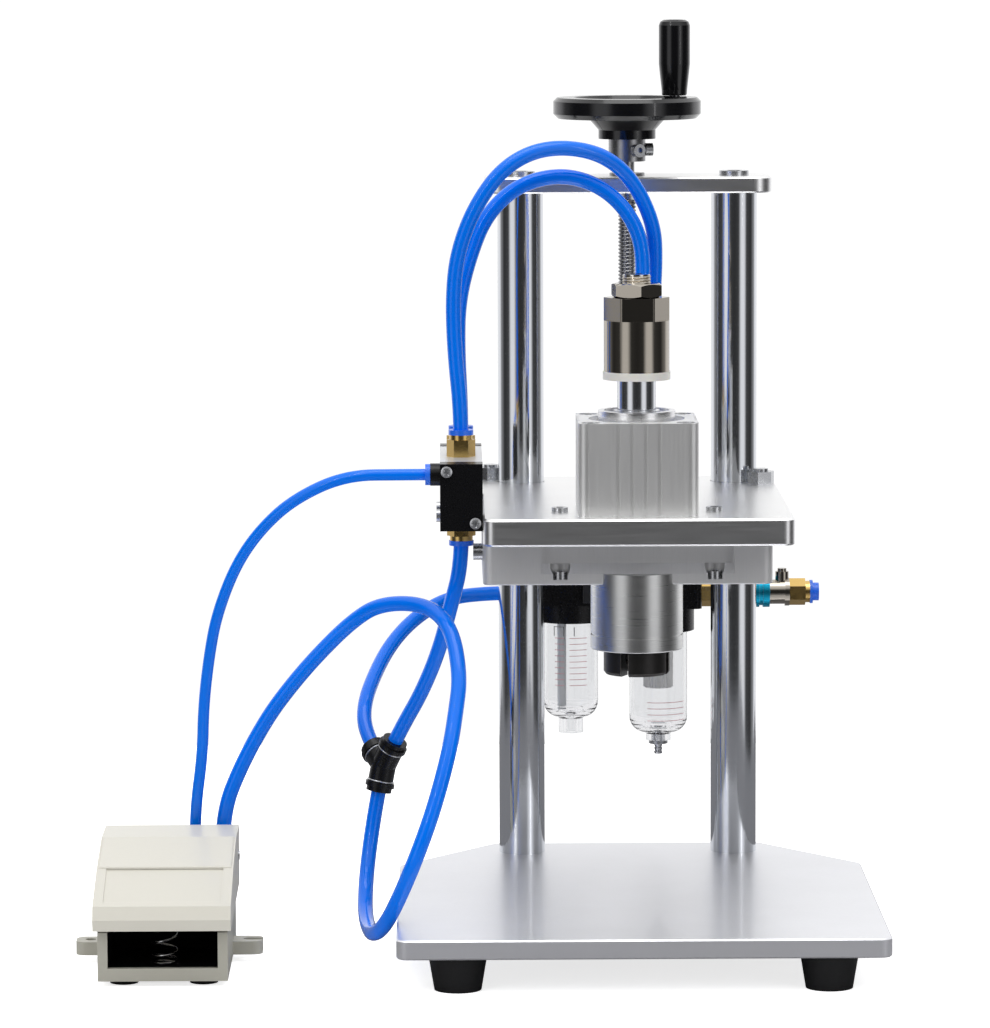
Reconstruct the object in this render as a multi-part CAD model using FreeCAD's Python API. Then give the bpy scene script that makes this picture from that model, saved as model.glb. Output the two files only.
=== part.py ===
"""Capping machine: a benchtop pneumatic crimping press with its air foot pedal.

Millimetres, +Z up, front towards -Y. Everything is laid out in the machine's own
coordinates (x = 0 midway between the columns, y = 0 in the column plane, z = 0 on
the bench) and moved at the end, so that the origin is under the middle of the box.
"""
import FreeCAD, Part
import math
import os

V = FreeCAD.Vector
X, Y, Z = V(1, 0, 0), V(0, 1, 0), V(0, 0, 1)
GAP = 0.3          # running gap between pieces that move past each other
FIT = 0.04         # radial clearance of a shaft in its bore

# ---- stand -------------------------------------------------------------------
BASE_WIDTH, BASE_THICK = 250.0, 10.0
BASE_FRONT, BASE_REAR = 257.0, 25.0          # from the column plane
BASE_SIDE, BASE_REAR_WIDTH = 215.0, 146.0    # straight side, width of the rear edge
FOOT_HEIGHT, FOOT_TOP, FOOT_TIP = 18.0, 30.0, 24.0
FOOT_IN_X, FOOT_IN_Y, REAR_FOOT_OUT, REAR_FOOT_IN = 31.0, 17.0, 12.0, 45.0
COLUMN_DIA, COLUMN_PITCH = 25.0, 116.0
COLUMN_LENGTH = 362.5
TOP_WIDTH, TOP_DEPTH, TOP_THICK = 155.0, 48.0, 8.5
# ---- screw and handwheel --------------------------------------------------------
SCREW_DIA, SCREW_NECK, SCREW_END_Z = 10.0, 8.0, 160.0
BUSH_FLANGE = 1.5
NECK_SHOWN = 6.3
COLLAR_DIA, COLLAR_HEIGHT = 20.0, 12.2
WHEEL_DIA, WHEEL_RIM, WHEEL_HEIGHT, HUB_DIA = 80.0, 11.3, 22.3, 31.0
CRANK_X, CRANK_Y, CRANK_LENGTH, CRANK_DIA = 26.5, 19.5, 41.0, 17.0
# ---- carriage -------------------------------------------------------------------
PLATE_Z, PLATE_WIDTH, PLATE_THICK = 218.5, 160.0, 14.0
PLATE_FRONT, PLATE_REAR = 186.0, 24.0
BLOCK_LEFT, BLOCK_RIGHT, BLOCK_FRONT, BLOCK_REAR = 80.0, 70.0, 160.0, 30.0
BLOCK_THICK, LIP_THICK, POCKET_HALF, POCKET_DEEP = 23.0, 5.7, 50.0, 5.0
BUSH_DIA, BUSH_LENGTH = 32.0, 40.0
NUT_DIA, NUT_LENGTH = 20.0, 28.0
HEAD_Y = 144.0                               # cylinder axis in front of the columns
# ---- cylinder, rod and crimping head --------------------------------------------
CYL_SIDE, CYL_HEIGHT, CYL_BORE = 62.0, 48.0, 50.0
ROD_DIA, ROD_END_DIA, STROKE = 20.0, 14.0, 16.0
BOSS_DIA, BOSS_RISE, RUN_OUT = 40.0, 4.3, 16.1
WASHER_DIA, WASHER_THICK = 35.0, 4.1
ADJUSTER_DIA, ADJUSTER_LENGTH, ADJUSTER_HEX, HEX_LENGTH = 34.0, 26.5, 30.0, 11.9
LOCK_HEX, LOCK_HEIGHT, ROD_STUB = 24.0, 7.2, 4.7
SLEEVE_DIA, SLEEVE_WALL, SLEEVE_END_Z, RING_HEIGHT = 48.0, 4.0, 160.6, 7.3
JAWS, JAW_SLOT, JAW_DROP, JAW_MOUTH = 4, 4.0, 13.4, 16.0
JAW_DIA = SLEEVE_DIA - 2 * SLEEVE_WALL - 5.5 # the jaws open inside the sleeve
# ---- pilot valve ----------------------------------------------------------------
VALVE_WIDTH, VALVE_HEIGHT, VALVE_LENGTH, CAP_LENGTH = 22.0, 34.0, 108.0, 12.0
VALVE_Y, VALVE_Z = -111.0, 224.8             # middle along y, underside
PORT_PITCH, SPOOL_DIA, SPOOL_TRAVEL = 22.0, 11.0, 4.0
# ---- air preparation unit ----------------------------------------------------------
UNIT_DEPTH, BRACKET_THICK, AIR_Z = 40.0, 3.0, 165.0
OILER_X, OILER_WIDTH, REG_X, REG_WIDTH = -30.0, 44.0, 18.7, 47.0
OILER_BOWL_DIA, REG_BOWL_DIA, BOWL_WALL = 30.6, 32.4, 2.0
KNOB_DIA, KNOB_HEIGHT = 30.0, 33.0
SLIDER_TRAVEL_LEFT, SLIDER_TRAVEL_RIGHT = 4.5, 3.0
# ---- air line ---------------------------------------------------------------------
TUBE, PILOT_TUBE = 8.0, 6.0
# ---- foot pedal ---------------------------------------------------------------------
PEDAL_X, PEDAL_FRONT, PEDAL_REAR = -243.7, -240.0, -122.0
PEDAL_WIDTH, LID_WIDTH, LID_WALL, EAR_SPAN = 66.0, 70.0, 1.7, 97.0
PEDAL_FOOT, PEDAL_FLOOR, PEDAL_WALL = 3.0, 3.0, 3.6
PIN_DIA, PIN_Y, PIN_Z, TREADLE_DEG = 5.0, -132.0, 50.0, 7.0

# ---- levels worked out from the sizes above ---------------------------------------
BASE_TOP = FOOT_HEIGHT + BASE_THICK
TOP_Z = BASE_TOP + COLUMN_LENGTH             # underside of the top plate
TOP_FACE = TOP_Z + TOP_THICK
COLLAR_Z = TOP_FACE + BUSH_FLANGE + NECK_SHOWN
WHEEL_Z = COLLAR_Z + COLLAR_HEIGHT
RIM_TOP = WHEEL_Z + WHEEL_HEIGHT
PLATE_TOP = PLATE_Z + PLATE_THICK
BLOCK_Z = PLATE_Z - BLOCK_THICK
CYL_TOP = PLATE_TOP + CYL_HEIGHT
BOSS_TOP = CYL_TOP + BOSS_RISE
WASHER_Z = BOSS_TOP + RUN_OUT
ADJUSTER_Z = WASHER_Z + WASHER_THICK
HEX_Z = ADJUSTER_Z + ADJUSTER_LENGTH
LOCK_Z = HEX_Z + HEX_LENGTH
ROD_TOP = LOCK_Z + LOCK_HEIGHT + ROD_STUB
SLEEVE_TOP = BLOCK_Z + LIP_THICK
RING_TOP = SLEEVE_END_Z + RING_HEIGHT
UNIT_Y = PLATE_REAR + BRACKET_THICK + UNIT_DEPTH / 2
VALVE_X = -(PLATE_WIDTH + VALVE_WIDTH) / 2
VALVE_TOP = VALVE_Z + VALVE_HEIGHT
VALVE_FRONT = VALVE_Y - VALVE_LENGTH / 2

ORIGIN = V((PEDAL_X - EAR_SPAN / 2 + BASE_WIDTH / 2) / 2, (UNIT_Y + UNIT_DEPTH / 2 - BASE_FRONT) / 2, 0)

# ---- free air tubes: the points that each route goes by -----------------------------
HEAD_ELBOWS = [(-2.0, -99.0, 267.0), (3.5, -85.0, 243.5)]    # x, y of the riser, z of the stem
PEDAL_ELBOWS = [(PEDAL_X + 11.2, PILOT_TUBE), (PEDAL_X + 25.9, TUBE)]
ELBOW_RISE, PEDAL_ELBOW_Z, PEDAL_ELBOW_OUT = 19.0, 42.0, 14.0


# ---- shapes ---------------------------------------------------------------------------
def box(x0, x1, y0, y1, z0, z1):
    return Part.makeBox(x1 - x0, y1 - y0, z1 - z0, V(x0, y0, z0))


def cyl(dia, length, at, axis=Z):
    return Part.makeCylinder(dia / 2, length, V(*at), axis)


def cone(dia, dia_end, length, at, axis=Z):
    return Part.makeCone(dia / 2, dia_end / 2, length, V(*at), axis)


def ring(dia, bore, length, at, axis=Z):
    return cyl(dia, length, at, axis).cut(cyl(bore, length, at, axis))


def prism(sides, flats, length, at, axis=Z, turn=0.0):
    """A bar with this many sides and this width across flats."""
    radius = flats / 2 / math.cos(math.pi / sides)
    angles = [math.radians(turn) + 2 * math.pi * k / sides for k in range(sides + 1)]
    face = Part.Face(Part.makePolygon([V(radius * math.cos(a), radius * math.sin(a), 0) for a in angles]))
    bar = face.extrude(V(0, 0, length))
    bar.Placement = FreeCAD.Placement(V(*at), FreeCAD.Rotation(Z, axis))
    return bar


def outline(points, height, z0):
    """A flat plate with this outline in x and y."""
    face = Part.Face(Part.makePolygon([V(x, y, z0) for x, y in points + points[:1]]))
    return face.extrude(V(0, 0, height))


def turned(profile, at):
    """A turned piece: the (radius, z) profile carried round a vertical axis."""
    face = Part.Face(Part.makePolygon([V(r, 0, z) for r, z in profile + profile[:1]]))
    return face.revolve(V(0, 0, 0), Z, 360).translated(V(at[0], at[1], 0))


def side_on(profile, x0, x1):
    """The (y, z) profile carried from x0 to x1."""
    face = Part.Face(Part.makePolygon([V(x0, y, z) for y, z in profile + profile[:1]]))
    return face.extrude(V(x1 - x0, 0, 0))


def uprights(shape):
    return [e for e in shape.Edges if len(e.Vertexes) == 2 and abs(e.tangentAt(e.FirstParameter).z) > 0.999]


def rounded(shape, radius):
    return shape.makeFillet(radius, uprights(shape))


def at_level(shape, *levels):
    """Edges that lie flat at one of these heights."""
    return [e for e in shape.Edges
            if any(abs(e.BoundBox.ZMin - z) < 1e-4 and abs(e.BoundBox.ZMax - z) < 1e-4 for z in levels)]


def bevelled(shape, size, *levels):
    return shape.makeChamfer(size, at_level(shape, *levels))


def cap_screw(dia, length, at, axis, head=None, high=None):
    """A socket cap screw; at is the seat of the head, axis points from the shank to the head."""
    head, high = head or dia * 1.6, high or dia
    seat = V(*at)
    body = cyl(head, high, seat, axis).fuse(cyl(dia, length, seat - axis * length, axis))
    socket = prism(6, dia * 0.8, high * 0.6, seat + axis * high * 0.4, axis)
    return body.cut(socket)


def cord(name, points, dia):
    """A tube along straight runs joined by tangent arcs, each as large as its runs allow."""
    points = [V(*p) for p in points]
    edges, last, radii = [], points[0], []
    for before, here, after in zip(points, points[1:], points[2:]):
        back, on = (before - here), (after - here)
        half_turn = (math.pi - back.getAngle(on)) / 2
        short = min(back.Length, on.Length)
        radius = 0.45 * short / math.tan(half_turn)
        radii.append(radius)
        back.normalize()
        on.normalize()
        start, end = here + back * 0.45 * short, here + on * 0.45 * short
        middle = back + on
        middle.normalize()
        middle = here + middle * (radius / math.cos(half_turn) - radius)
        edges += [Part.LineSegment(last, start).toShape(), Part.Arc(start, middle, end).toShape()]
        last = end
    edges.append(Part.LineSegment(last, points[-1]).toShape())
    path = Part.Wire(edges)
    section = Part.Wire(Part.makeCircle(dia / 2, points[0], points[1] - points[0]))
    tube = path.makePipeShell([section], True, True)
    ideal = math.pi * dia ** 2 / 4 * path.Length
    print(f"{name}: length {path.Length:.1f}, least radius {min(radii):.1f} of",
          " ".join(f"{r:.0f}" for r in radii), f"volume ratio {tube.Volume / ideal:.5f}")
    return tube


# ---- stand -----------------------------------------------------------------------------
COLUMNS = [(-COLUMN_PITCH / 2, 0.0), (COLUMN_PITCH / 2, 0.0)]
FEET = [(side * (BASE_WIDTH / 2 - FOOT_IN_X), -BASE_FRONT + FOOT_IN_Y) for side in (-1, 1)]
FEET += [(side * (BASE_REAR_WIDTH / 2 + REAR_FOOT_OUT), BASE_REAR - REAR_FOOT_IN) for side in (-1, 1)]


def base_plate():
    half, rear = BASE_WIDTH / 2, BASE_REAR_WIDTH / 2
    side_end = -BASE_FRONT + BASE_SIDE
    points = [(-half, -BASE_FRONT), (half, -BASE_FRONT), (half, side_end), (rear, BASE_REAR),
              (-rear, BASE_REAR), (-half, side_end)]
    plate = rounded(outline(points, BASE_THICK, FOOT_HEIGHT), 6.0)
    plate = bevelled(plate, 0.8, FOOT_HEIGHT, BASE_TOP)
    for x, y in COLUMNS:
        plate = plate.cut(cyl(10.4, BASE_THICK, (x, y, FOOT_HEIGHT))).cut(cyl(17, 5, (x, y, FOOT_HEIGHT)))
    for x, y in FEET:
        plate = plate.cut(cyl(5, BASE_THICK - 3, (x, y, FOOT_HEIGHT)))
    return plate


def foot(x, y):
    body = cone(FOOT_TIP, FOOT_TOP, FOOT_HEIGHT, (x, y, 0))
    return body.cut(cyl(12, 6, (x, y, 0))).cut(cyl(5, FOOT_HEIGHT, (x, y, 0)))


def foot_screw(x, y):
    return cap_screw(5, FOOT_HEIGHT - 6 + 6, (x, y, 6), -Z, 10, 3)


def column(x, y):
    rod = cyl(COLUMN_DIA, COLUMN_LENGTH, (x, y, BASE_TOP))
    for z in (BASE_TOP, TOP_Z - 25):
        rod = rod.cut(cyl(10, 25, (x, y, z)))
    return rod


def column_screws(x, y):
    lower = cap_screw(10, 25, (x, y, FOOT_HEIGHT + 5), -Z, 16, 5)
    upper = cap_screw(10, TOP_THICK + 15, (x, y, TOP_FACE), Z, 16, 2.5)
    return [lower, upper]


def top_plate():
    plate = rounded(box(-TOP_WIDTH / 2, TOP_WIDTH / 2, -TOP_DEPTH / 2, TOP_DEPTH / 2, TOP_Z, TOP_FACE), 10.0)
    plate = bevelled(plate, 0.8, TOP_Z, TOP_FACE)
    plate = plate.cut(cyl(14, TOP_THICK, (0, 0, TOP_Z)))
    for x, y in COLUMNS:
        plate = plate.cut(cyl(10.4, TOP_THICK, (x, y, TOP_Z)))
    return plate


def screw_bearing():
    bush = cyl(14, TOP_THICK, (0, 0, TOP_Z)).fuse(cyl(19, BUSH_FLANGE, (0, 0, TOP_FACE)))
    return bush.cut(cyl(SCREW_NECK + 2 * FIT, TOP_THICK + BUSH_FLANGE, (0, 0, TOP_Z)))


# ---- screw, handwheel and crank -----------------------------------------------------------
def lead_screw():
    thread = cyl(SCREW_DIA, TOP_Z - 0.2 - SCREW_END_Z, (0, 0, SCREW_END_Z))
    neck = cyl(SCREW_NECK, WHEEL_Z + 14 - TOP_Z + 0.2, (0, 0, TOP_Z - 0.2))
    return thread.fuse(neck)


def screw_lock_nut():
    return ring(17, SCREW_DIA, 4, (0, 0, TOP_Z - 4.2))


def handwheel_collar():
    collar = ring(COLLAR_DIA, SCREW_NECK, COLLAR_HEIGHT, (0, 0, COLLAR_Z))
    for axis in COLLAR_AXES:
        collar = collar.cut(cyl(4, COLLAR_DIA, (0, 0, COLLAR_SCREW_Z), axis))
    return collar


COLLAR_AXES = [V(math.cos(math.radians(a)), math.sin(math.radians(a)), 0) for a in (-62, 10)]
COLLAR_SCREW_Z = COLLAR_Z + COLLAR_HEIGHT / 2


def collar_screw(axis):
    return cap_screw(4, COLLAR_DIA / 2 - SCREW_NECK / 2, V(0, 0, COLLAR_SCREW_Z) + axis * COLLAR_DIA / 2, axis, 7, 4)


def handwheel():
    rim, low = WHEEL_DIA / 2, RIM_TOP - WHEEL_RIM
    cone_top, hub = 21.0, HUB_DIA / 2
    profile = [(SCREW_NECK / 2, WHEEL_Z), (hub, WHEEL_Z), (hub, WHEEL_Z + 4.8), (cone_top, low), (rim - 2.5, low),
               (rim, low + 2.5), (rim, RIM_TOP - 2), (rim - 2, RIM_TOP), (rim - 11, RIM_TOP),
               (rim - 13, RIM_TOP - 2), (rim - 13.5, low + 4), (14.0, low + 4), (12.0, RIM_TOP - 4),
               (SCREW_NECK / 2 + 3, RIM_TOP - 4), (SCREW_NECK / 2 + 3, WHEEL_Z + 14), (SCREW_NECK / 2, WHEEL_Z + 14)]
    wheel = turned(profile, (0, 0))
    return wheel.cut(cyl(6, 8, (CRANK_X, CRANK_Y, RIM_TOP - 8)))


def crank_stud():
    stem = cyl(6, 8 + GAP + CRANK_LENGTH - 8, (CRANK_X, CRANK_Y, RIM_TOP - 8))
    return stem.fuse(cyl(8.5, 2.5, (CRANK_X, CRANK_Y, RIM_TOP + GAP + CRANK_LENGTH - 8)))


def crank_handle():
    z, top, big = RIM_TOP + GAP, CRANK_LENGTH, CRANK_DIA / 2
    bore, well = 3 + FIT, 4.6
    profile = [(bore, 0), (6.4, 0), (6.9, 0.6), (7.0, 3), (big - 0.5, 12), (big, 17), (big, top - 3), (big - 0.8, top - 1),
               (big - 2.5, top), (bore + 1.6, top), (well, top - 8 - GAP), (bore, top - 8 - GAP)]
    return turned([(r, z + h) for r, h in profile], (CRANK_X, CRANK_Y))


# ---- carriage --------------------------------------------------------------------------------
STUD_OUT = COLUMN_DIA / 2 - 12.5             # a thicker column pushes its studs out
STUDS = [(72.0 + STUD_OUT, -15.0 - STUD_OUT), (-74.5 - STUD_OUT, 13.0 + STUD_OUT)]
TIE_SCREWS = [(-40.0, -148.0), (40.0, -148.0)]
CYL_BOLTS = [(sx * 24.5, -HEAD_Y + sy * 24.5) for sx in (-1, 1) for sy in (-1, 1)]
ROD_HOLE = ROD_DIA + 1


def carriage_plate():
    plate = box(-PLATE_WIDTH / 2, PLATE_WIDTH / 2, -PLATE_FRONT, PLATE_REAR, PLATE_Z, PLATE_TOP)
    plate = bevelled(rounded(plate, 6.0), 1.0, PLATE_Z, PLATE_TOP)
    for x, y in COLUMNS:
        plate = plate.cut(cyl(COLUMN_DIA + 2 * GAP, PLATE_THICK, (x, y, PLATE_Z)))
        plate = plate.cut(cyl(BUSH_DIA, PLATE_THICK - 4, (x, y, PLATE_Z)))
    plate = plate.cut(cyl(SCREW_DIA + 2 * GAP, PLATE_THICK, (0, 0, PLATE_Z)))
    plate = plate.cut(cyl(NUT_DIA, PLATE_THICK - 4, (0, 0, PLATE_Z)))
    plate = plate.cut(cyl(ROD_HOLE, PLATE_THICK, (0, -HEAD_Y, PLATE_Z)))
    for x, y in STUDS:
        plate = plate.cut(cyl(8, PLATE_THICK, (x, y, PLATE_Z)))
    for x, y in TIE_SCREWS:
        plate = plate.cut(cyl(5, PLATE_THICK, (x, y, PLATE_Z)))
    for x, y in CYL_BOLTS:
        plate = plate.cut(cyl(6, PLATE_THICK, (x, y, PLATE_Z)))
    for y in VALVE_SCREWS_Y:
        plate = plate.cut(cyl(4, 12, (-PLATE_WIDTH / 2, y, VALVE_SCREW_Z), X))
    for x in BRACKET_SCREWS_X:
        plate = plate.cut(cyl(4, 8, (x, PLATE_REAR, BRACKET_SCREW_Z), -Y))
    return plate


def head_block():
    block = rounded(box(-BLOCK_LEFT, BLOCK_RIGHT, -BLOCK_FRONT, -BLOCK_REAR, BLOCK_Z, PLATE_Z), 5.0)
    block = bevelled(block, 0.6, BLOCK_Z)
    back, ledge = -BLOCK_FRONT + POCKET_DEEP, SLEEVE_TOP + POCKET_DEEP
    pocket = [(-BLOCK_FRONT - 1, SLEEVE_TOP), (-BLOCK_FRONT, SLEEVE_TOP), (back, ledge), (back, PLATE_Z + 1),
              (-BLOCK_FRONT - 1, PLATE_Z + 1)]
    block = block.cut(side_on(pocket, -POCKET_HALF, POCKET_HALF))
    for x, y in LIP_SCREWS:
        block = block.cut(cyl(10.5, POCKET_DEEP + 3, (x, y, LIP_SEAT_Z))).cut(cyl(4, LIP_THICK, (x, y, BLOCK_Z)))
    for x, y in TIE_SCREWS:
        block = block.cut(cyl(5, 12, (x, y, PLATE_Z - 12)))
    block = block.cut(cyl(SLEEVE_DIA, SLEEVE_TOP - BLOCK_Z, (0, -HEAD_Y, BLOCK_Z)))
    block = block.cut(cyl(ROD_HOLE, BLOCK_THICK, (0, -HEAD_Y, BLOCK_Z)))
    for x, y in BLOCK_BOLTS:
        block = block.cut(cyl(6, BLOCK_THICK, (x, y, BLOCK_Z))).cut(cyl(10, 6, (x, y, BLOCK_Z)))
    return block.cut(cyl(5, 12, (-BLOCK_LEFT, SIDE_SCREW_Y, SIDE_SCREW_Z), X))


BLOCK_BOLTS = [(-66.0, -45.0), (56.0, -45.0)]
LIP_SCREWS = [(-40.0, -BLOCK_FRONT + 3.7), (40.0, -BLOCK_FRONT + 3.7)]
LIP_SEAT_Z = SLEEVE_TOP - 3.0
SIDE_SCREW_Y, SIDE_SCREW_Z = -150.0, 212.0


def column_bush(x, y):
    bush = cyl(BUSH_DIA, BUSH_LENGTH, (x, y, PLATE_TOP - 4 - BUSH_LENGTH)).fuse(cyl(42, 5, (x, y, PLATE_Z - 5)))
    bush = bush.cut(cyl(COLUMN_DIA + 2 * FIT, BUSH_LENGTH, (x, y, PLATE_TOP - 4 - BUSH_LENGTH)))
    for sx, sy in STUDS:
        bush = bush.cut(cyl(8, 5, (sx, sy, PLATE_Z - 5)))
    return bush


def feed_nut():
    nut = cyl(NUT_DIA, NUT_LENGTH, (0, 0, PLATE_TOP - 4 - NUT_LENGTH)).fuse(cyl(34, 5, (0, 0, PLATE_Z - 5)))
    return nut.cut(cyl(SCREW_DIA + 2 * FIT, NUT_LENGTH, (0, 0, PLATE_TOP - 4 - NUT_LENGTH)))


def clamp_stud(x, y):
    """A stud from the bush flange up through the plate, with a hex nut on top."""
    stud = cyl(8, PLATE_THICK + 5 + 8, (x, y, PLATE_Z - 5))
    nut = prism(6, 13, 6.5, (x, y, PLATE_TOP), turn=15).cut(cyl(8, 6.5, (x, y, PLATE_TOP)))
    return [stud, nut]


def carriage_screws():
    screws = [cap_screw(5, PLATE_THICK + 10, (x, y, PLATE_TOP), Z, 8.5, 2.2) for x, y in TIE_SCREWS]
    reach = CYL_HEIGHT - 6.5 + PLATE_THICK - 1
    screws += [cap_screw(6, reach, (x, y, CYL_TOP - 6.5), Z, 9.6, 6) for x, y in CYL_BOLTS]
    screws += [cap_screw(6, BLOCK_THICK - 6, (x, y, BLOCK_Z + 6), -Z, 9.6, 6) for x, y in BLOCK_BOLTS]
    screws += [cap_screw(4, LIP_SEAT_Z - BLOCK_Z, (x, y, LIP_SEAT_Z), Z, 7, 4) for x, y in LIP_SCREWS]
    screws.append(cap_screw(5, 10, (-BLOCK_LEFT, SIDE_SCREW_Y, SIDE_SCREW_Z), -X, 8.5, 5))
    left = VALVE_X - VALVE_WIDTH / 2
    screws += [cap_screw(4, VALVE_WIDTH + 10, (left, y, VALVE_SCREW_Z), -X, 6.5, 2) for y in VALVE_SCREWS_Y]
    behind = PLATE_REAR + BRACKET_THICK
    screws += [cap_screw(4, BRACKET_THICK + 7, (x, behind, BRACKET_SCREW_Z), Y, 7, 2.5) for x in BRACKET_SCREWS_X]
    screws += [cap_screw(3, 8, (VALVE_X + dx, VALVE_FRONT, VALVE_Z + dz), -Y, 6, 1.2) for dx, dz in CAP_SCREWS]
    return screws


CAP_SCREWS = [(-7.6, VALVE_HEIGHT - 3.7), (7.2, 3.6)]


# ---- cylinder and rod ------------------------------------------------------------------------------
def cylinder_body():
    half = CYL_SIDE / 2
    body = rounded(box(-half, half, -HEAD_Y - half, -HEAD_Y + half, PLATE_TOP, CYL_TOP), 4.0)
    bore_z = PLATE_TOP + 8.5
    body = body.cut(cyl(CYL_BORE, CYL_TOP - bore_z, (0, -HEAD_Y, bore_z)))
    body = body.cut(cyl(ROD_DIA + 2 * FIT, 8.5, (0, -HEAD_Y, PLATE_TOP)))
    slots = []
    for x in (-11.3, -4.2, 2.9, 10.0):
        slots.append(box(x - 0.5, x + 1.7, -half - 1, -half + 1.2, PLATE_TOP, CYL_TOP))
    for x in (-half + 3.6, half - 5.4):
        slots.append(box(x, x + 1.8, -half - 1, -half + 1.0, PLATE_TOP, CYL_TOP))
    cutter = slots[0].fuse(slots[1:])
    for quarter in (0, 90, 270):
        body = body.cut(cutter.rotated(V(0, 0, 0), Z, quarter).translated(V(0, -HEAD_Y, 0)))
    for x, y in CYL_BOLTS:
        body = body.cut(cyl(6, CYL_HEIGHT, (x, y, PLATE_TOP))).cut(cyl(10, 6.5, (x, y, CYL_TOP - 6.5)))
    for x, _, z in HEAD_ELBOWS:
        body = body.cut(cyl(5, half - CYL_BORE / 2 + 3, (x, -HEAD_Y + half, z), -Y))
    return body


def cylinder_gland():
    gland = cyl(CYL_BORE, 8.5, (0, -HEAD_Y, CYL_TOP - 10.5)).fuse(cyl(BOSS_DIA, BOSS_TOP - CYL_TOP + 10.5, (0, -HEAD_Y, CYL_TOP - 10.5)))
    gland = gland.cut(ring(BOSS_DIA - 6, ROD_DIA + 4, 1.2, (0, -HEAD_Y, BOSS_TOP - 1.2)))
    return gland.cut(cyl(ROD_DIA + 2 * FIT, BOSS_TOP - CYL_TOP + 10.5, (0, -HEAD_Y, CYL_TOP - 10.5)))


CUP_TOP = SLEEVE_TOP - SLEEVE_WALL - GAP
SHOULDER_Z = HEX_Z - 9.5


def piston_rod():
    bar = cyl(ROD_DIA, SHOULDER_Z - CUP_TOP, (0, -HEAD_Y, CUP_TOP)).fuse(
        cyl(ROD_END_DIA, ROD_TOP - SHOULDER_Z, (0, -HEAD_Y, SHOULDER_Z)))
    return bar.cut(prism(6, 6, 5, (0, -HEAD_Y, ROD_TOP - 5)))


def piston():
    top = CYL_TOP - 10.5 - 1.0
    disc = ring(CYL_BORE - 2 * FIT, ROD_DIA, 10, (0, -HEAD_Y, top - 10))
    return disc.cut(ring(CYL_BORE, CYL_BORE - 5, 3, (0, -HEAD_Y, top - 6.5)))


def bumper_washer():
    return ring(WASHER_DIA, ROD_DIA, WASHER_THICK, (0, -HEAD_Y, WASHER_Z))


def adjuster_sleeve():
    body = cyl(ADJUSTER_DIA, ADJUSTER_LENGTH + HEX_LENGTH, (0, -HEAD_Y, ADJUSTER_Z))
    flats = cyl(ADJUSTER_DIA + 2, HEX_LENGTH, (0, -HEAD_Y, HEX_Z)).cut(
        prism(6, ADJUSTER_HEX, HEX_LENGTH, (0, -HEAD_Y, HEX_Z)))
    body = body.cut(flats).cut(cyl(ROD_DIA, SHOULDER_Z - ADJUSTER_Z, (0, -HEAD_Y, ADJUSTER_Z)))
    return body.cut(cyl(ROD_END_DIA, LOCK_Z - SHOULDER_Z, (0, -HEAD_Y, SHOULDER_Z)))


def lock_nut():
    nut = prism(6, LOCK_HEX, LOCK_HEIGHT, (0, -HEAD_Y, LOCK_Z), turn=-22)
    limit = cone(LOCK_HEX - 1, LOCK_HEX + 9, 2.2, (0, -HEAD_Y, LOCK_Z)).fuse(
        cyl(LOCK_HEX + 9, LOCK_HEIGHT - 4.4, (0, -HEAD_Y, LOCK_Z + 2.2))).fuse(
        cone(LOCK_HEX + 9, LOCK_HEX - 1, 2.2, (0, -HEAD_Y, LOCK_Z + LOCK_HEIGHT - 2.2)))
    return nut.common(limit).cut(cyl(ROD_END_DIA, LOCK_HEIGHT, (0, -HEAD_Y, LOCK_Z)))


def closing_cup():
    """The cup on the rod's foot that drives over the jaws and closes them."""
    dia = SLEEVE_DIA - 2 * SLEEVE_WALL - 2 * GAP
    cup = cyl(dia, 10, (0, -HEAD_Y, CUP_TOP - 10))
    return cup.cut(cone(2 * JAW_NECK + 2.4, 2 * JAW_NECK + 1.4, 5.5, (0, -HEAD_Y, CUP_TOP - 10)))


# ---- crimping head --------------------------------------------------------------------------------------
JAW_NECK = 14.0                              # outer radius of the jaws above their shoulder


def crimp_sleeve():
    bore = SLEEVE_DIA - 2 * SLEEVE_WALL
    at = (0, -HEAD_Y, RING_TOP)
    tube = cyl(SLEEVE_DIA, SLEEVE_TOP - RING_TOP, at).cut(cyl(bore, SLEEVE_TOP - SLEEVE_WALL - RING_TOP, at))
    tube = tube.cut(cyl(ROD_HOLE, SLEEVE_TOP - RING_TOP, at))
    tube = tube.cut(ring(SLEEVE_DIA + 2, SLEEVE_DIA - 1.2, 0.9, at))
    keeper = ring(SLEEVE_DIA, JAW_DIA + 1.5, RING_HEIGHT, (0, -HEAD_Y, SLEEVE_END_Z))
    return [tube, bevelled(keeper, 0.5, SLEEVE_END_Z)]


def jaw(number):
    """One of the equal segments of the collet, cut back by half a slot on each side."""
    nose, low = JAW_DIA / 2, SLEEVE_END_Z - JAW_DROP
    shoulder = SLEEVE_DIA / 2 - SLEEVE_WALL - 0.6
    lip, top = RING_TOP + GAP, CUP_TOP - 4.5 - STROKE - GAP
    mouth = JAW_MOUTH / 2
    profile = [(mouth, low), (nose - 1.2, low), (nose, low + 1.5), (nose, lip), (shoulder, lip), (shoulder, lip + 2.2),
               (JAW_NECK + 0.4, lip + 2.2), (JAW_NECK, top), (mouth + 2, top), (mouth + 2, low + 6), (mouth, low + 5)]
    solid = turned(profile, (0, 0))
    middle = JAW_TURN + 360 / JAWS * number
    for side in (-1, 1):
        edge = middle + side * 180 / JAWS
        wedge = box(-60, 60, 0, 60, low - 1, top + 1).translated(V(0, -JAW_SLOT / 2, 0))
        wedge = wedge if side > 0 else wedge.mirror(V(0, 0, 0), Y)
        solid = solid.cut(wedge.rotated(V(0, 0, 0), Z, edge))
    return solid.translated(V(0, -HEAD_Y, 0))


JAW_TURN = -90 + 21                          # middle of the first jaw, degrees from +X


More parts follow.
